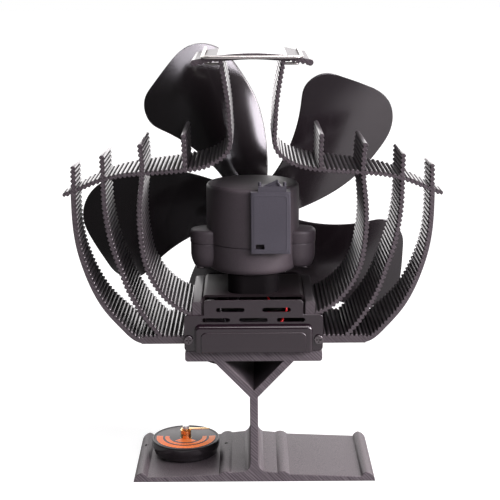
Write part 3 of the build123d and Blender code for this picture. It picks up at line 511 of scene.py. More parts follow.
def flat_far(y):
    """Far face that is flat."""
    return lambda x: np.full_like(x, y)


def arc_far(x):
    """Far face of the heat sink: a slice of a cylinder, Y = middle + sqrt(radius squared - x squared)."""
    return sink_depth / 2 - sink_front_radius + np.sqrt(sink_front_radius ** 2 - x ** 2)


def line_of(x, z):
    """Line of points from X and Z values; either may be one number."""
    return np.column_stack(np.broadcast_arrays(x, z))


def round_tip(distance, radius):
    """Half thickness near a round end: sqrt(r*r - (r - d)*(r - d)) at distance d from the end."""
    inside = np.clip(distance, 0, radius)
    return np.sqrt(np.maximum(radius ** 2 - (radius - inside) ** 2, 0))


def ribs(length):
    """How far the surface lies below the crests: depth * (1 - |sin(pi s / pitch)|)."""
    return rib_depth * (1 - np.abs(np.sin(pi * length / rib_pitch)))


print("far face at the side", round(float(arc_far(np.array([sink_width / 2]))[0]), 2))

# %% [markdown]
# ## The heat sink
# One aluminium extrusion: a base plate, curved fins on both sides, a cross rail that turns up
# into an arm, and an arch on top. Most of its faces are finely ribbed, which gives the air more
# metal to touch. The ribs could be painted on with a bump, but they show as teeth where a fin is
# seen from its end, so here they are real waves in the strip's two lines.

# %% heat sink lines
fin_roots = [[(44.0, 76.75), (51.0, 76.75), (57.6, 77.35)], [(46.97, 78.98)], [(29.14, 89.64)]]
fin_shares = [
    [(0.693, 0.056), (0.786, 0.126), (0.849, 0.198), (0.891, 0.269), (0.921, 0.340), (0.938, 0.422),
     (0.942, 0.511), (0.941, 0.617)],
    [(0.568, 0.080), (0.614, 0.125), (0.671, 0.197), (0.706, 0.262), (0.745, 0.339), (0.768, 0.409),
     (0.782, 0.480), (0.786, 0.558), (0.788, 0.653)],
    [(0.407, 0.129), (0.463, 0.159), (0.510, 0.196), (0.566, 0.267), (0.589, 0.338), (0.599, 0.407),
     (0.597, 0.494), (0.585, 0.563), (0.580, 0.614), (0.588, 0.690)],
]
short_fin_shares = [(0.357, 0.606), (0.358, 0.660), (0.361, 0.722)]
rail_shares = [
    (0.987, 0.529), (0.939, 0.540), (0.876, 0.558), (0.799, 0.576), (0.701, 0.591), (0.594, 0.598),
    (0.447, 0.604), (0.368, 0.608), (0.316, 0.612), (0.237, 0.624), (0.185, 0.640), (0.142, 0.662),
    (0.120, 0.689), (0.118, 0.743), (0.124, 0.811), (0.138, 0.883), (0.163, 0.975),
]
fin_thickness, rail_thickness, crown_thickness, flange_half, bead_radius = 2.9, 2.6, 3.0, 1.5, 1.6


def sink_points(shares):
    """Places of shares of the half width and of the rise, in millimetres."""
    return np.array(shares) * (sink_width / 2, sink_rise) + (0.0, sink_floor)


def smooth_face(along):
    """A face with no ribs."""
    return np.zeros_like(along)


def ribs_after(start):
    """Ribs that begin at a distance along the strip, growing to full depth over two millimetres."""
    return lambda along: ribs(along) * np.clip((along - start) / 2, 0, 1)


def ribbed_strip(points, thickness, near, left_ribs=ribs, right_ribs=ribs, tip=(False, True)):
    """Strip round a smooth middle line, with waves on each face where its ribs function says so.

    A face lies half the thickness from the middle line, less the wave, and both close in on the
    line along a half circle at a round tip."""
    line = smooth_line(points, 0.25)
    radius = thickness / 2
    first, last = headings(line)[[0, -1]]
    arc = radius * np.sin(np.linspace(0, pi / 2, 9))[1:, None]
    if tip[1]:
        line = np.vstack([line, line[-1] + arc * last])
    if tip[0]:
        line = np.vstack([line[0] - arc[::-1] * first, line])
    total = lengths(line)
    along = total - (radius if tip[0] else 0)
    half = np.full(len(line), radius)
    if tip[1]:
        half = np.minimum(half, round_tip(total[-1] - total, radius))
    if tip[0]:
        half = np.minimum(half, round_tip(total, radius))
    fade = np.clip(half / radius, 0, 1) ** 4
    across = headings(line)[:, ::-1] * (-1, 1)
    drops = [left_ribs(along) * fade, right_ribs(along) * fade]
    left = line + across * (half - drops[0])[:, None]
    right = line - across * (half - drops[1])[:, None]
    crests = [1 - drop / rib_depth for drop in drops]
    return strip(left, right, near, arc_far, left_crest=crests[0], right_crest=crests[1])


def mirrored(grid):
    """The same grid on the other side of the X = 0 plane."""
    return grid * (-1, 1, 1, 1)


# %% heat sink mesh
# Each strip starts a little further back than the last, so that no two sawn faces share a plane.
near_face = -sink_depth / 2
inner_smooth, outer_smooth = 13.0, 100.0
right_side = []
for number, (root, shares) in enumerate(zip(fin_roots, fin_shares)):
    points = root + sink_points(shares).tolist()
    faces = (ribs_after(inner_smooth), ribs_after(outer_smooth)) if number == 0 else (ribs, ribs)
    right_side.append(ribbed_strip(points, fin_thickness, near_face + 0.03 * number, *faces))
right_side.append(ribbed_strip(sink_points(short_fin_shares), rail_thickness, near_face + 0.05))
rail_points = sink_points(rail_shares)
right_side.append(ribbed_strip(rail_points, rail_thickness, near_face + 0.07, tip=(True, False)))
crease, arch_crown = sink_points([(0.178, 0.9828), (0.0, 0.9896)])
arch_end = np.array([28.2, sink_floor + 0.9683 * sink_rise])
flange_length = np.linalg.norm(arch_end - crease)
slope = (arch_end - crease) / flange_length
flange_line = crease + np.linspace(0, 1, 42)[:, None] * (arch_end - crease)
lift = np.array([-slope[1], slope[0]]) * flange_half
under = ribs(np.linspace(0, flange_length, 42))[:, None] / flange_half
flange_under = flange_line - lift * (1 - under)
# The flange's top takes a crest value of 0.65, so the finish gives it part of the painted valley shade: a
# darker, duller top.
right_side.append(strip(flange_line + lift, flange_under, near_face + 0.04, arc_far, left_crest=0.65))
turn = np.linspace(0, pi, 25)
bead_left, bead_right = (
    arch_end + bead_radius * np.column_stack([-np.cos(turn), side * np.sin(turn)]) for side in (1, -1)
)
right_side.append(strip(bead_left, bead_right, near_face + 0.02, arc_far))
wall_inner, wall_outer, wall_height, wall_edge = 25.9, 31.3, 97.3, 0.9
wall_top = wall_height - 0.7 * (1 - np.sin(np.linspace(0.1, pi / 2, 7)))
wall_rise = np.concatenate([np.linspace(77.6, 96.6, 20), wall_top])
past = np.clip((wall_rise - (wall_height - wall_edge)) / wall_edge, 0, 1)
wall_round = wall_edge * (1 - np.sqrt(np.maximum(0, 1 - past ** 2)))
wall_left = line_of(wall_inner + wall_round, wall_rise)
wall_right = line_of(wall_outer - wall_round, wall_rise)
# Both faces of the wall take a crest value of 0.64, which gives them part of the painted valley shade.
right_side.append(strip(wall_left, wall_right, near_face + 0.01, arc_far, 0.45, 0.64, 0.64))
crown_points = [crease * (-1, 1), arch_crown, crease]
flat_faces = (smooth_face, smooth_face)
middle = [ribbed_strip(crown_points, crown_thickness, near_face + 0.06, *flat_faces, tip=(True, True))]
plate_half, plate_height, channel_half = 57, 79.9, 31.5
plate_x = np.linspace(-plate_half, plate_half, 457)
plate_ribs = ribs(plate_x) * np.clip(np.abs(plate_x) - channel_half, 0, 1)
plate_top = line_of(plate_x, plate_height - plate_ribs)
plate_bottom = line_of(plate_x, sink_floor)
plate_crest = 1 - plate_ribs / rib_depth
middle.append(strip(plate_top, plate_bottom, near_face + 0.015, arc_far, left_crest=plate_crest))
add_piece(
    "heat_sink_extrusion", right_side + [mirrored(grid) for grid in right_side] + middle, black_extrusion,
    "base", ["heat_sink"],
)

# %% [markdown]
# ## The foot
# A second extrusion: a plate with a round ridge along each edge, a bead on both sides of a thin
# stem, and a fork that opens into a flat table for the generator. It is built from the same
# strips, with outlines in place of fins.


# %% foot lines
def arc_through(first, middle, last, count=14):
    """Points on the circle through three points, from the first to the last."""
    a, b, c = (np.array(point, float) for point in (first, middle, last))
    system = 2 * np.array([b - a, c - a])
    center = np.linalg.solve(system, np.array([b @ b - a @ a, c @ c - a @ a]))
    radius = np.linalg.norm(a - center)
    swept = np.unwrap([np.arctan2(*(point - center)[::-1]) for point in (a, b, c)])
    bow = np.linspace(swept[0], swept[2], count)
    return center + radius * np.column_stack([np.cos(bow), np.sin(bow)])


edge_arc = arc_through((63.0, 0.6), (61.154, 3.876), (58.74, 5.1))
back_arc = arc_through((58.74, 5.1), (56.894, 4.256), (55.9, 2.5))
bump_arc = arc_through((18.5, 4.1), (15.3, 5.8), (12.1, 5.046))
half_top = np.vstack([
    edge_arc, back_arc[1:], np.linspace((55.9, 2.5), (18.5, 4.1), 30)[1:], bump_arc[1:],
    np.linspace((12.1, 5.046), (5.0, 5.8), 8)[1:], [(0.0, 5.8)],
])
top_line = np.vstack([half_top * (-1, 1), half_top[-2::-1]])
bottom_line = line_of(top_line[:, 0], 0.0)
stem_half_width, stem_flare = 2.1, 2.9
stem_rise = np.concatenate([np.linspace(3.0, 12.1, 24), np.linspace(13.0, 47.5, 12)])
stem_half = stem_half_width + stem_flare * np.clip(1 - (stem_rise - 5.8) / 6.3, 0, 1) ** 3.6
stem_left, stem_right = (line_of(side * stem_half, stem_rise) for side in (-1, 1))
table_half, table_round, table_floor, table_middle, table_height = 35.0, 1.4, 65.7, 68.0, 71.4
fork_foot, fork_top, fork_thickness = (2.1, 46.4), (20.5, table_floor), 4.0
fork_angle = np.arctan2(fork_top[1] - fork_foot[1], fork_top[0] - fork_foot[0])
fork_low = np.array([(0.0, fork_foot[1] - fork_foot[0] * np.tan(fork_angle)), fork_top])
fork_high = fork_low + (0.0, fork_thickness / cos(fork_angle))
share = np.linspace(0, 1, 9)[:, None]
fork_right, fork_left = (ends[0] + share * (ends[1] - ends[0]) for ends in (fork_low, fork_high))
fork_left = line_of(fork_left[:, 0], np.minimum(fork_left[:, 1], table_middle))
table_x = table_half * np.sin(np.linspace(-pi / 2, pi / 2, 90))
past = np.clip((np.abs(table_x) - (table_half - table_round)) / table_round, 0, 1)
drop = table_round * (1 - np.sqrt(1 - past ** 2))
table_top = line_of(table_x, table_height - drop)
table_bottom = line_of(table_x, table_floor + drop)

# %% foot mesh
near_foot = -foot_depth / 2
far_foot = flat_far(foot_depth / 2)
fork = strip(fork_left, fork_right, near_foot + 0.02, far_foot)
foot_grids = [
    strip(top_line, bottom_line, near_foot, far_foot, chamfer=0.3),
    strip(stem_left, stem_right, near_foot + 0.01, far_foot, chamfer=0.3),
    fork, mirrored(fork),
    strip(table_top, table_bottom, near_foot + 0.03, far_foot, chamfer=0.3),
]
add_piece("foot_extrusion", foot_grids, foot_extrusion, "base", ["heat_collector_foot"])

# %% [markdown]
# ## The blades
# Five blades are stamped from one sheet, pressed to a shallow scoop and leaned back. A blade could
# be sculpted by hand, but its outline and its scoop are two simple functions: the outline gives
# the width at each step along the blade, and the scoop gives the depth at each point.

# %% blade surface
blade_radius = 94.75
axis_height = 131.9
blade_thickness = 1.0
hub_depth = 33.6
edge_radius = 0.45
blade_shares = np.array([
    (0.030, 0.050), (0.100, 0.078), (0.182, 0.066), (0.262, 0.073), (0.345, 0.095), (0.490, 0.157),
    (0.631, 0.252), (0.697, 0.297), (0.780, 0.301), (0.850, 0.264), (0.894, 0.194), (0.933, 0.116),
    (0.967, 0.042), (0.993, -0.035), (0.991, -0.117), (0.953, -0.191), (0.893, -0.242),
    (0.814, -0.272), (0.734, -0.286), (0.574, -0.298), (0.405, -0.273), (0.252, -0.220),
    (0.105, -0.142), (0.030, -0.080),
])


def blade_depth(along, across):
    """Rear face of a blade: flat at the hub, then a leaned, pitched and scooped surface.

    Depth = 40 + 7.6 l - (0.24 + 0.04 l) w + w w / 240, with l = u / 60 - 1, faded in by a smooth
    step between the radii 13 and 27. An oval dimple, 24 by 12, is pressed into the root."""
    lean = along / 60 - 1
    free = 40 + 7.6 * lean - (0.24 + 0.04 * lean) * across + across ** 2 / 240
    blend = np.clip((np.hypot(along, across) - 13) / 14, 0, 1)
    blend = blend * blend * (3 - 2 * blend)
    depth = hub_depth + blend * (free - hub_depth)
    reach = np.hypot((along - 22) / 12, across / 6.2)
    dimple = np.clip(1.25 * (1 - reach), 0, 1)
    return depth - 1.3 * dimple * dimple * (3 - 2 * dimple)


def blade_grid():
    """Closed grid of one blade: each ring crosses the rear face and comes back over the front one."""
    outline = smooth_line(blade_shares * blade_radius, 0.3)
    tip = int(np.argmax(outline[:, 0]))
    share = np.sin(np.linspace(0, pi / 2, 80)) * 0.9999
    along = outline[0, 0] + share * (outline[tip, 0] - outline[0, 0])
    upper = np.interp(along, outline[:tip + 1, 0], outline[:tip + 1, 1])
    lower = np.interp(along, outline[:tip - 1:-1, 0], outline[:tip - 1:-1, 1])
    side = np.sin(np.linspace(-pi / 2, pi / 2, 33))
    across = lower[:, None] + (upper - lower)[:, None] * (side + 1) / 2
    run = np.repeat(along[:, None], len(side), axis=1)
    rear = blade_depth(run, across)
    edge = np.minimum(upper[:, None] - across, across - lower[:, None])
    edge = np.minimum(edge, np.maximum(along[-1] - run, 0) + 0.05)
    inset = edge_radius - round_tip(np.maximum(edge, 0.02), edge_radius)
    back = np.stack([run, across, rear + inset], axis=-1)
    front = np.stack([run, across, rear + blade_thickness - inset], axis=-1)
    return np.concatenate([back, front[:, ::-1]], axis=1)


def turned_blade(grid, angle):
    """A blade turned about the shaft: (u, w, depth) to (X, Y, Z)."""
    u, w, depth = grid[..., 0], grid[..., 1], grid[..., 2]
    x = u * cos(angle) - w * sin(angle)
    z = u * sin(angle) + w * cos(angle)
    return np.stack([x, depth, z + axis_height], axis=-1) * mm


def on_shaft(grid):
    """Turn a grid built on Z so that it lies on the shaft, with its Z along +Y."""
    return np.stack([grid[..., 0], grid[..., 2], axis_height - grid[..., 1]], axis=-1) * mm


# %% blade wheel
blade_count = 5
first_blade = 116
blade_black = finish(
    "blade_black", (0.005, 0.003, 0.004), (0.009, 0.006, 0.008), (0.19, 0.26), (22, 3200), 6e-6,
    Coat_Weight=0.15, Coat_Roughness=0.06, Specular_IOR_Level=1.0,
)
one_blade = blade_grid()
angles = [radians(first_blade + 360 / blade_count * number) for number in range(blade_count)]
wheel = [turned_blade(one_blade, angle) for angle in angles]
hub_profile = [
    (0.01, 33.3), (14.6, 33.3), (15.0, 33.6), (15.0, 34.6), (14.6, 34.9), (5.0, 34.9), (0.01, 34.9),
]
wheel.append(on_shaft(revolved(hub_profile)))
add_piece("blade_wheel", wheel, blade_black, "wheel", ["fan_blades"], sharp=40)

# %% [markdown]
# ## Softening the CAD parts
# The lid, the latch, the sheet covers and the bracket have the right shapes already, but their
# edges are sharp. A copy of each mesh is merged and its flat faces joined. Then, on the lid, the
# latch and the rear cover, the edges that show are rounded by the size that moulding or pressing
# leaves, and the normals of every copy are weighted by area.

# %% bevel helper
soft_angle = 34.0
join_angle = 0.4


def softened(node, material, rounds=(), width=None):
    """Copy of a CAD mesh, merged and joined, with its edges rounded.

    Each of the rounds is (width, steps, test): the edges whose two ends pass the test are rounded by
    that width. A width for the whole piece adds a Bevel modifier on all that is still sharp."""
    source = nodes[node].data
    places = np.zeros(len(source.vertices) * 3)
    source.vertices.foreach_get("co", places)
    corners = np.zeros(len(source.loops), int)
    source.loops.foreach_get("vertex_index", corners)
    mesh = bpy.data.meshes.new(node + "_soft")
    mesh.from_pydata(places.reshape(-1, 3).tolist(), [], corners.reshape(-1, 3).tolist())
    work = bmesh.new()
    work.from_mesh(mesh)
    bmesh.ops.remove_doubles(work, verts=work.verts, dist=1e-6)
    bmesh.ops.dissolve_limit(work, angle_limit=radians(join_angle), verts=work.verts, edges=work.edges)
    for size, steps, test in rounds:
        chosen = [edge for edge in work.edges if all(test(*(vert.co / mm)) for vert in edge.verts)]
        bmesh.ops.bevel(work, geom=chosen, offset=size * mm, segments=steps, profile=0.5, affect="EDGES")
        print(node, "edges rounded by", size, "is", len(chosen))
    work.to_mesh(mesh)
    work.free()
    piece = new_piece(node + "_soft", mesh, material, soft_angle)
    if width:
        rounding = piece.modifiers.new("rounding", "BEVEL")
        rounding.width = width * mm
        rounding.segments = 3
        rounding.limit_method = "ANGLE"
        rounding.angle_limit = radians(soft_angle)
    piece.modifiers.new("normals", "WEIGHTED_NORMAL").keep_sharp = True
    settle(piece, nodes[node]["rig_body"], [node])
    print(piece.name, "faces", len(mesh.polygons))


# %% [markdown]
# ## Moulded plastic and painted sheet
# The motor housing is moulded in black plastic with a fine spark texture, and its lid is a little
# smoother. The lid's base colour also leans to blue, a painted reflection of bluish light from the
# front. The covers are sheet steel under glossy black paint, and the bracket's paint is dull.

# %% housing and sheet finishes
housing_black = finish(
    "housing_black", (0.049, 0.040, 0.045), (0.072, 0.060, 0.067), (0.46, 0.56), (30, 2400), 3e-5,
    Specular_IOR_Level=0.4,
)
# The blue in these two colours is a painted reflection of bluish light from the front.
lid_blue_sheen = finish(
    "lid_blue_sheen", (0.044, 0.042, 0.052), (0.060, 0.057, 0.070), (0.36, 0.44), (45, 2400), 3e-5,
)
sheet_black = finish(
    "sheet_black", (0.008, 0.003, 0.006), (0.013, 0.006, 0.010), (0.11, 0.16), (60, 2800), 6e-6,
    Specular_IOR_Level=1.0,
)
bracket_black = finish(
    "bracket_black", (0.010, 0.007, 0.008), (0.017, 0.012, 0.014), (0.42, 0.52), (60, 2600), 2e-5,
    Specular_IOR_Level=0.2,
)
cover_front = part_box("rear_cover")[0][1] / mm + 3.6
lid_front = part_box("box_cover")[0][1] / mm
emboss_top = 85.3
print("plate of the cover at Y", round(cover_front, 2))


# %% softened parts
def on_emboss(x, y, z):
    """True on the rim of the raised panel: its outline, three millimetres in front of the plate."""
    return abs(y - cover_front + 3.0) < 0.05 and (abs(x) > 27.0 or z > emboss_top - 2.7)


def on_step(x, y, z):
    """True on the front edge of the panel's inner step."""
    return y < cover_front - 3.5


def on_plate_rim(x, y, z):
    """True on the front edge of the plate's own outline, away from slots and screw holes."""
    shoulder = (abs(x) > 24.9 and z > 89.2) or (abs(x) > 33.1 and z > 88.4)
    return abs(y - cover_front) < 0.05 and (abs(x) > 34.9 or z > 95.0 or shoulder)


def on_lid_rim(x, y, z):
    """True on the front edge of the lid's outline, and not round its small window."""
    return abs(y - lid_front) < 0.05 and (x < 0.5 or x > 17.0 or z < 123.0 or z > 151.0)


softened("box_cover", lid_blue_sheen, [(0.8, 4, on_lid_rim)])
softened("latch_tab", lid_blue_sheen, width=0.2)
cover_rounds = [(1.5, 6, on_emboss), (0.5, 4, on_step), (0.3, 3, on_plate_rim)]
softened("rear_cover", sheet_black, cover_rounds)
softened("front_cover", sheet_black)
softened("motor_bracket", bracket_black)

# %% [markdown]
# ## The housing's two shells
# Each shell is a profile turned about the Z axis: out over the top, down the side, then back
# along the inner wall. The lower shell is set in by a hair, which draws the parting line, and the
# top cap meets the side in a fine groove. The ears for the screws are two more turned profiles.

# %% housing shells
cap_profile = [
    (0.01, 153.7), (12.0, 153.66), (21.6, 153.5), (22.5, 153.42), (22.66, 153.1), (22.82, 153.36),
    (23.3, 153.1), (23.72, 152.6), (23.93, 152.0), (24.0, 151.2), (24.0, 138.0), (24.0, 124.0),
    (23.9, 123.5), (22.0, 123.5), (22.0, 151.7), (0.01, 151.7),
]
cup_profile = [
    (0.01, 110.7), (22.0, 110.7), (22.0, 123.35), (23.4, 123.35), (23.72, 123.1), (23.75, 122.6),
    (23.72, 113.0), (23.6, 111.7), (23.2, 110.4), (22.5, 109.5), (21.5, 108.9), (20.4, 108.7), (0.01, 108.7),
]
ear_cap_profile = [
    (0.01, 130.3), (7.2, 130.28), (8.0, 130.1), (8.55, 129.65), (8.88, 129.0), (9.0, 128.2), (9.0, 124.0),
    (8.9, 123.5), (0.01, 123.5),
]
ear_cup_profile = [
    (0.01, 123.35), (8.5, 123.35), (8.7, 123.1), (8.72, 122.6), (8.7, 117.0), (8.5, 115.6), (8.1, 114.0),
    (7.4, 112.2), (6.9, 111.2), (6.4, 110.85), (5.8, 110.7), (0.01, 110.7),
]
ear_x, ear_y = 23.5, -4.5
for name, node, profile, ear_profile in (
    ("housing_cap", "housing_upper_shell", cap_profile, ear_cap_profile),
    ("housing_cup", "housing_lower_shell", cup_profile, ear_cup_profile),
):
    shells = [moved(revolved(profile, 128), 0, 0)]
    shells += [moved(revolved(ear_profile, 64), x, ear_y) for x in (-ear_x, ear_x)]
    add_piece(name, shells, housing_black, "base", [node], sharp=38)

# %% [markdown]
# ## The latch's raised rim
# The finger tab on the latch is stiffened by a rim along its two slopes. Each rim is one short bar
# with chamfered edges, laid on the front of the tab, and the edges catch the light from above.

# %% latch rim
tab_front = -24.7
rim_width = 1.0
rim_rise = 0.6
tab_corners = np.array([(5.1, 155.6), (12.32, 158.8), (14.3, 155.6)])
rim_back = flat_far(tab_front + 0.1)
bars = []
for first, last in zip(tab_corners[:-1], tab_corners[1:]):
    along = (last - first) / np.linalg.norm(last - first)
    inward = np.array([along[1], -along[0]]) * rim_width
    outer_edge = np.stack([first, last])
    bars.append(strip(outer_edge, outer_edge + inward, tab_front - rim_rise, rim_back))
add_piece("latch_rim", bars, lid_blue_sheen, "base")

# %% [markdown]
# ## The handle
# A wire bail, bent from one length of nickel-plated wire. Its path is a few straight runs with
# round bends, and a circle is carried along it.


# %% wire helpers
def bent_path(corners, radii, steps=10):
    """Straight runs joined by arcs: each arc starts and ends radius * tan(turn / 2) from its corner."""
    points = [np.array(corners[0], float)]
    for before, corner, after_it, radius in zip(corners, corners[1:], corners[2:], radii):
        back = np.array(before, float) - corner
        ahead = np.array(after_it, float) - corner
        back = back / np.linalg.norm(back)
        ahead = ahead / np.linalg.norm(ahead)
        half = np.arccos(np.clip(back @ ahead, -1, 1)) / 2
        turn = pi - 2 * half
        middle = (back + ahead) / np.linalg.norm(back + ahead)
        center = corner + middle * radius / np.sin(half)
        first = corner + back * radius / np.tan(half) - center
        last = corner + ahead * radius / np.tan(half) - center
        sweep = np.linspace(0, 1, steps)[:, None] * turn
        points.extend(center + (first * np.sin(turn - sweep) + last * np.sin(sweep)) / np.sin(turn))
    points.append(np.array(corners[-1], float))
    return np.array(points)


def tube(path, radius, count=20):
    """Rings of a round wire along a path, each square to the path and turned no more than it must."""
    ahead = headings(path)
    sides = []
    side = np.cross(ahead[0], (0.0, 0.0, 1.0))
    for direction in ahead:
        side = side - direction * (side @ direction)
        side = side / np.linalg.norm(side)
        sides.append(side)
    sides = np.array(sides)
    other = np.cross(ahead, sides)
    turn = np.linspace(0, 2 * pi, count, endpoint=False)[None, :, None]
    return (path[:, None] + radius * (np.cos(turn) * sides[:, None] + np.sin(turn) * other[:, None])) * mm


# %% handle
nickel = finish(
    "nickel", (0.70, 0.67, 0.64), (0.78, 0.75, 0.72), (0.26, 0.34), (90, 1800), 4e-6, Metallic=1.0,
)
wire_radius = 0.8
leg_height = 220.472
pin_height = 212.172
leg_x, pin_x, pin_y, front_y = 24.2, 13.2, 26.0, -31.0
sag = 0.7
wire_low, wire_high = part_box("handle_wire")
hook_y = wire_high[1] / mm - wire_radius
half_path = [
    (pin_x, pin_y, pin_height), (leg_x, pin_y, pin_height), (leg_x, hook_y, pin_height),
    (leg_x, hook_y, leg_height), (leg_x, front_y, leg_height - sag),
]
other_half = [(-x, y, z) for x, y, z in half_path][::-1]
bends = [1.1, 1.1, 1.1, 4.0]
bail = [tube(bent_path(half_path + other_half, bends + bends[::-1]), wire_radius)]
add_piece("handle_bail", bail, nickel, "handle", ["handle_wire"], sharp=60)
print("hook", round(hook_y, 2), "box", [round(value / mm, 1) for value in (*wire_low, *wire_high)])

# %% [markdown]
# ## The thermometer
# A round black case with a satin rim stands on the foot, and a dial lies inside the rim. The case
# could be one solid, but rim and dial are hoops of their own, so that each has its own finish.
# Everything round is a profile turned about the dial's own axis.

# %% thermometer case
dial_x, dial_y, cup_floor = -37.1, 4.2, 4.15
case_colors = ((0.010, 0.008, 0.009), (0.018, 0.015, 0.017))
case_black = finish(
    "case_black", *case_colors, (0.16, 0.24), (60, 1500), 5e-6, Coat_Weight=0.5, Coat_Roughness=0.08,
)
rim_black = finish("rim_black", *case_colors, (0.30, 0.38), (60, 1500), 5e-6, Specular_IOR_Level=0.25)
case_profile = [
    (0.01, 0.0), (16.6, 0.0), (17.0, 0.2), (17.2, 0.7), (17.3, 1.5), (17.5, 2.5), (17.9, 3.3), (18.2, 3.9),
    (18.3, 4.6), (18.3, 7.2), (17.1, 7.2), (17.1, 1.3), (0.01, 1.3),
]
rim_profile = [
    (17.1, 6.7), (17.1, 7.6), (17.2, 7.8), (17.45, 7.9), (17.9, 7.85), (18.2, 7.65), (18.3, 7.3),
    (18.3, 7.2), (17.6, 7.0),
]
case = [moved(revolved(case_profile), dial_x, dial_y, cup_floor)]
rim = [moved(hoop(rim_profile), dial_x, dial_y, cup_floor)]
add_piece("thermometer_case", case, case_black, "base", ["thermometer_cup"])
add_piece("thermometer_rim", rim, rim_black, "base", ["thermometer_bezel"], 40, closed=True)

# %% [markdown]
# ## The dial's print
# The dial is a plain scale of this lesson's own: two bands and a fan in orange ink, cut by thin
# gaps, on a near-black ground. Radius and angle round the dial's axis decide which colour each
# point takes, so the print is made of Math nodes in one reusable group.


# %% dial finish
def band_group():
    """Mask of an arc band: 1 where Inner < radius < Outer and Start < angle < End."""
    labels = {"Radius": 0.0, "Angle": 0.0, "Inner": 0.0, "Outer": 1.0, "Start": 0.0, "End": 1.0}
    tree, start, end = new_group("arc_band", labels, ["Mask"])
    tests = []
    for label, low, high in (("Radius", "Inner", "Outer"), ("Angle", "Start", "End")):
        above = math_node("GREATER_THAN", start[label], start[low])
        below = math_node("LESS_THAN", start[label], start[high])
        tests.append(math_node("MULTIPLY", above, below))
    feed(end, {"Mask": math_node("MULTIPLY", *tests)})
    return tree


arc_band = band_group()
dial_bands = [(0.0126, 0.0160, 1.72), (0.0090, 0.0113, 1.72), (0.0030, 0.0076, 0.85)]
gaps_per_radian = 7.0
gap_share = 0.06
gap_offset = 3.2


def dial_finish():
    """Printed dial: bands of orange ink over a satin ground; the ink is also given a weak painted glow."""
    material, tree, shader = new_material("dial_print", Specular_IOR_Level=0.4, Emission_Strength=0.30)
    place = add_node(tree, "TexCoord").outputs["Object"]
    shift = (-dial_x * mm, -dial_y * mm, 0)
    centered = add_node(tree, "Mapping", {"Vector": place, "Location": shift}).outputs["Vector"]
    parts = add_node(tree, "SeparateXYZ", {"Vector": centered}).outputs
    flat = add_node(tree, "CombineXYZ", {"X": parts["X"], "Y": parts["Y"]}).outputs["Vector"]
    radius = add_node(tree, "VectorMath", {0: flat}, operation="LENGTH").outputs["Value"]
    angle = math_node("ARCTAN2", parts["X"], math_node("MULTIPLY", parts["Y"], -1.0))
    bands = 0.0
    for inner, outer, reach in dial_bands:
        band = place_group(tree, arc_band, {
            "Radius": radius, "Angle": angle, "Inner": inner, "Outer": outer, "Start": -reach, "End": reach,
        })
        bands = math_node("MAXIMUM", bands, band["Mask"])
    turned = math_node("MULTIPLY", math_node("ADD", angle, gap_offset), gaps_per_radian)
    printed = math_node("GREATER_THAN", math_node("FRACT", turned), gap_share)
    ink = math_node("MULTIPLY", bands, printed)
    warmth = map_range(angle, -1.75, 1.75)
    orange = color_ramp(warmth, (0.0, (1.0, 0.19, 0.035)), (1.0, (1.0, 0.27, 0.07)))
    grain = grain_in(tree, (0.030, 0.021, 0.022), (0.042, 0.030, 0.031), (0.38, 0.5), (160.0, 2600.0))
    feed(shader, {
        "Base Color": mix_color(ink, grain["Color"], orange),
        # Painted glow: the ink emits a little of its own orange, so it stays bright where little light
        # falls.
        "Emission Color": mix_color(ink, (0, 0, 0, 1), orange),
        "Roughness": grain["Roughness"],
    })
    bump(grain["Height"], shader, 8e-6)
    return material


dial_print = dial_finish()
dial_profile = [(3.0, 6.3), (17.0, 6.3), (17.0, 7.7), (16.9, 7.75), (3.0, 7.75)]
dial = [moved(hoop(dial_profile), dial_x, dial_y, cup_floor)]
add_piece("dial_plate", dial, dial_print, "base", ["thermometer_dial"], 40, closed=True)

# %% [markdown]
# ## Small parts
# Screws, brass, copper, rubber and the rest keep their CAD meshes. Each material slot gets a finish
# of its own, from one table: colours, roughness, noise scales, depth, metal and specular level.

# %% small finishes
by_slot = {
    "anodised_black": black_extrusion, "black_sheet": sheet_black, "blade_metal": blade_black,
    "housing_plastic": housing_black, "nickel_wire": nickel, "dial_print": dial_print,
}
for slot, name, color_a, color_b, roughness, scales, depth, metal, level in (
    ("brass", "brass", (0.88, 0.60, 0.28), (0.97, 0.74, 0.42), (0.17, 0.26), (120, 1600), 6e-6, 1.0, 0.5),
    ("bright_steel", "bright_steel", (0.52, 0.51, 0.50), (0.66, 0.65, 0.63), (0.20, 0.32), (90, 1500),
     6e-6, 1.0, 0.5),
    ("black_steel", "black_steel", (0.09, 0.08, 0.085), (0.18, 0.165, 0.17), (0.08, 0.15), (300, 2000),
     6e-6, 0.8, 1.0),
    ("copper", "copper", (0.52, 0.22, 0.10), (0.66, 0.32, 0.17), (0.26, 0.40), (150, 2500), 1e-5, 1.0, 0.5),
    ("magnet_iron", "iron", (0.11, 0.11, 0.115), (0.17, 0.165, 0.16), (0.40, 0.55), (80, 1500),
     2e-5, 0.8, 0.5),
    ("ceramic", "ceramic", (0.78, 0.77, 0.74), (0.86, 0.85, 0.82), (0.45, 0.60), (60, 1500), 1e-5, 0.0, 0.5),
    ("insulation", "insulation", (0.030, 0.028, 0.030), (0.050, 0.046, 0.048), (0.55, 0.70), (90, 900),
     3e-5, 0.0, 0.5),
    ("red_insulation", "red_rubber", (0.70, 0.006, 0.010), (0.85, 0.012, 0.016), (0.32, 0.42), (120, 1500),
     1e-5, 0.0, 0.5),
    ("black_insulation", "black_rubber", (0.018, 0.017, 0.018), (0.030, 0.028, 0.030), (0.35, 0.45),
     (120, 1500), 1e-5, 0.0, 0.5),
):
    by_slot[slot] = finish(
        name, color_a, color_b, roughness, scales, depth, Metallic=metal, Specular_IOR_Level=level,
    )
cap_silver = finish(
    "cap_silver", (0.72, 0.71, 0.70), (0.82, 0.81, 0.80), (0.34, 0.44), (120, 1600), 4e-6, Metallic=0.6,
)
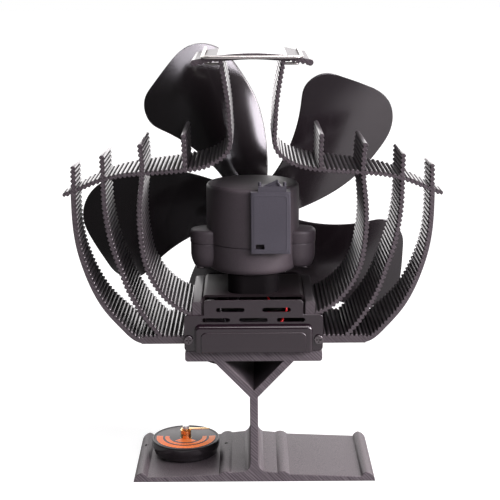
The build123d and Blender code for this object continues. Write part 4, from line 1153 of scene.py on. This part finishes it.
# Near-black matt finish that is painted shade: it darkens the pedestal and the hole discs to stand for
# shade.
shade_black = finish(
    "shade_black", (0.002, 0.001, 0.002), (0.004, 0.003, 0.003), (0.70, 0.80), (60, 1500), 2e-5,
    Specular_IOR_Level=0.12,
)
for piece in nodes.values():
    piece.material_slots[0].material = by_slot[piece.material_slots[0].material.name.split(".")[0]]
# The pedestal is made near-black so that it reads as the shade under the housing.
nodes["motor_pedestal"].material_slots[0].material = shade_black
nodes["pointer_cap"].material_slots[0].material = cap_silver
print("dressed", len(nodes), "nodes")

# %% [markdown]
# ## Two small holes
# The foot has a blind hole on its left ridge and one on the bump beside the stem. Cutting a hole
# into a grid takes many more faces, so a thin black disc stands on the metal where each hole is: its
# black is painted shade for the inside of the hole.

# %% marker holes
hole_places = ((-15.3, 10.6, 5.8), (-59.1, 10.6, 5.02))
hole_profile = [(0.01, 0.05), (0.85, 0.05), (0.95, 0.0), (0.95, -0.8), (0.01, -0.8)]
discs = [moved(revolved(hole_profile, 32), *place) for place in hole_places]
add_piece("hole_shade_discs", discs, shade_black, "base")

# %% [markdown]
# ## Light
# The photograph has a white ground that reaches all round the object, a large light above, a
# strong one on the right, and a dim room behind the camera. The lamps stand as those do, with small
# ones at the front right for the glints and a wide one behind. A lamp could also light the floor to
# white, but that greys the black metal from below, so the floor is darker and shines at the camera.

# %% floor and world
# Each fade is a range of places, in metres or as a direction, and the two values at its ends.
floor_fade = (0.15, 0.6, 0.90, 1.0)
table_fade = (-1.1, -0.3, 0.0, 0.10)
world_fade = (-0.15, 0.40, 0.07, 1.5)
room_light = 0.10


def floor_material():
    """Grey floor that shines at the camera, so it reads white, and a little in reflections.

    In reflections the shine ends in front of the object, where the photograph's table ended."""
    material, tree, shader = new_material(
        "floor_white", Base_Color=(0.28, 0.28, 0.28, 1), Roughness=0.9, Specular_IOR_Level=0.1,
        Emission_Color=(1, 1, 1, 1),
    )
    path = add_node(tree, "LightPath").outputs
    place = add_node(tree, "TexCoord").outputs["Object"]
    distance = add_node(tree, "VectorMath", {0: place}, operation="LENGTH").outputs["Value"]
    forward = add_node(tree, "SeparateXYZ", {"Vector": place}).outputs["Y"]
    seen = math_node("MAXIMUM", path["Is Camera Ray"], path["Is Transmission Ray"])
    shown = math_node("MULTIPLY", seen, map_range(distance, *floor_fade))
    table = map_range(forward, *table_fade, kind="SMOOTHSTEP")
    reflected = math_node("MULTIPLY", path["Is Glossy Ray"], table)
    feed(shader, {"Emission Strength": math_node("MAXIMUM", shown, reflected)})
    return material


def studio_world():
    """World that is white to the camera, bright behind the object in reflections, and dim as light."""
    world = bpy.data.worlds.new("studio")
    world.use_nodes = True
    tree = world.node_tree
    place = add_node(tree, "TexCoord").outputs["Generated"]
    forward = add_node(tree, "SeparateXYZ", {"Vector": place}).outputs["Y"]
    behind = map_range(forward, *world_fade, kind="SMOOTHSTEP")
    path = add_node(tree, "LightPath").outputs
    shine = math_node("MAXIMUM", path["Is Glossy Ray"], path["Is Transmission Ray"])
    reflected = math_node("MULTIPLY", shine, behind)
    plain = math_node("MULTIPLY", math_node("SUBTRACT", 1.0, shine), room_light)
    light = math_node("ADD", reflected, plain)
    strength = math_node("MAXIMUM", light, path["Is Camera Ray"])
    feed(tree.nodes["Background"], {"Strength": strength, "Color": (1, 1, 1, 1)})
    bpy.context.scene.world = world


floor_half = 6
floor_corners = [(x * floor_half, y * floor_half, 0) for x, y in ((-1, -1), (1, -1), (1, 1), (-1, 1))]
floor_mesh = bpy.data.meshes.new("floor")
floor_mesh.from_pydata(floor_corners, [], [(0, 1, 2, 3)])
floor_mesh.materials.append(floor_material())
floor = link(bpy.data.objects.new("floor", floor_mesh))
studio_world()


# %% lamps
def area_lamp(name, place, target, size, power, color):
    """Rectangular lamp aimed at a point."""
    data = bpy.data.lights.new(name, "AREA")
    data.shape = "RECTANGLE"
    data.size, data.size_y = size
    data.energy = power
    data.color = color
    lamp = link(bpy.data.objects.new(name, data))
    lamp.location = place
    lamp.rotation_euler = (Vector(target) - Vector(place)).to_track_quat("-Z", "Y").to_euler()


center = (0.0, 0.0, 0.13)
for lamp_values in (
    ("top_light", (0.28, -0.26, 1.02), center, (0.85, 0.4), 6.0, (1.0, 0.92, 0.96)),
    ("left_light", (-0.95, 0.05, 0.50), center, (0.3, 0.6), 0.3, (1.0, 0.92, 0.92)),
    ("right_light", (0.88, -0.34, 0.50), center, (0.35, 0.55), 16.5, (1.0, 0.92, 0.96)),
    ("key_light", (0.60, -0.75, 0.66), center, (0.28, 0.34), 4.4, (0.98, 0.91, 1.0)),
    ("right_strip", (0.78, -0.60, 0.45), center, (0.16, 0.5), 2.0, (0.98, 0.92, 1.0)),
    ("front_fill", (0.344, -0.89, 0.63), (-0.03, 0.04, 0.2), (0.27, 0.22), 1.3, (0.96, 0.91, 1.0)),
    ("back_light", (0.0, 1.5, 0.45), center, (1.8, 0.9), 5.5, (1.0, 0.93, 0.95)),
):
    area_lamp(*lamp_values)
print("lamps", [lamp.name for lamp in bpy.data.lights])
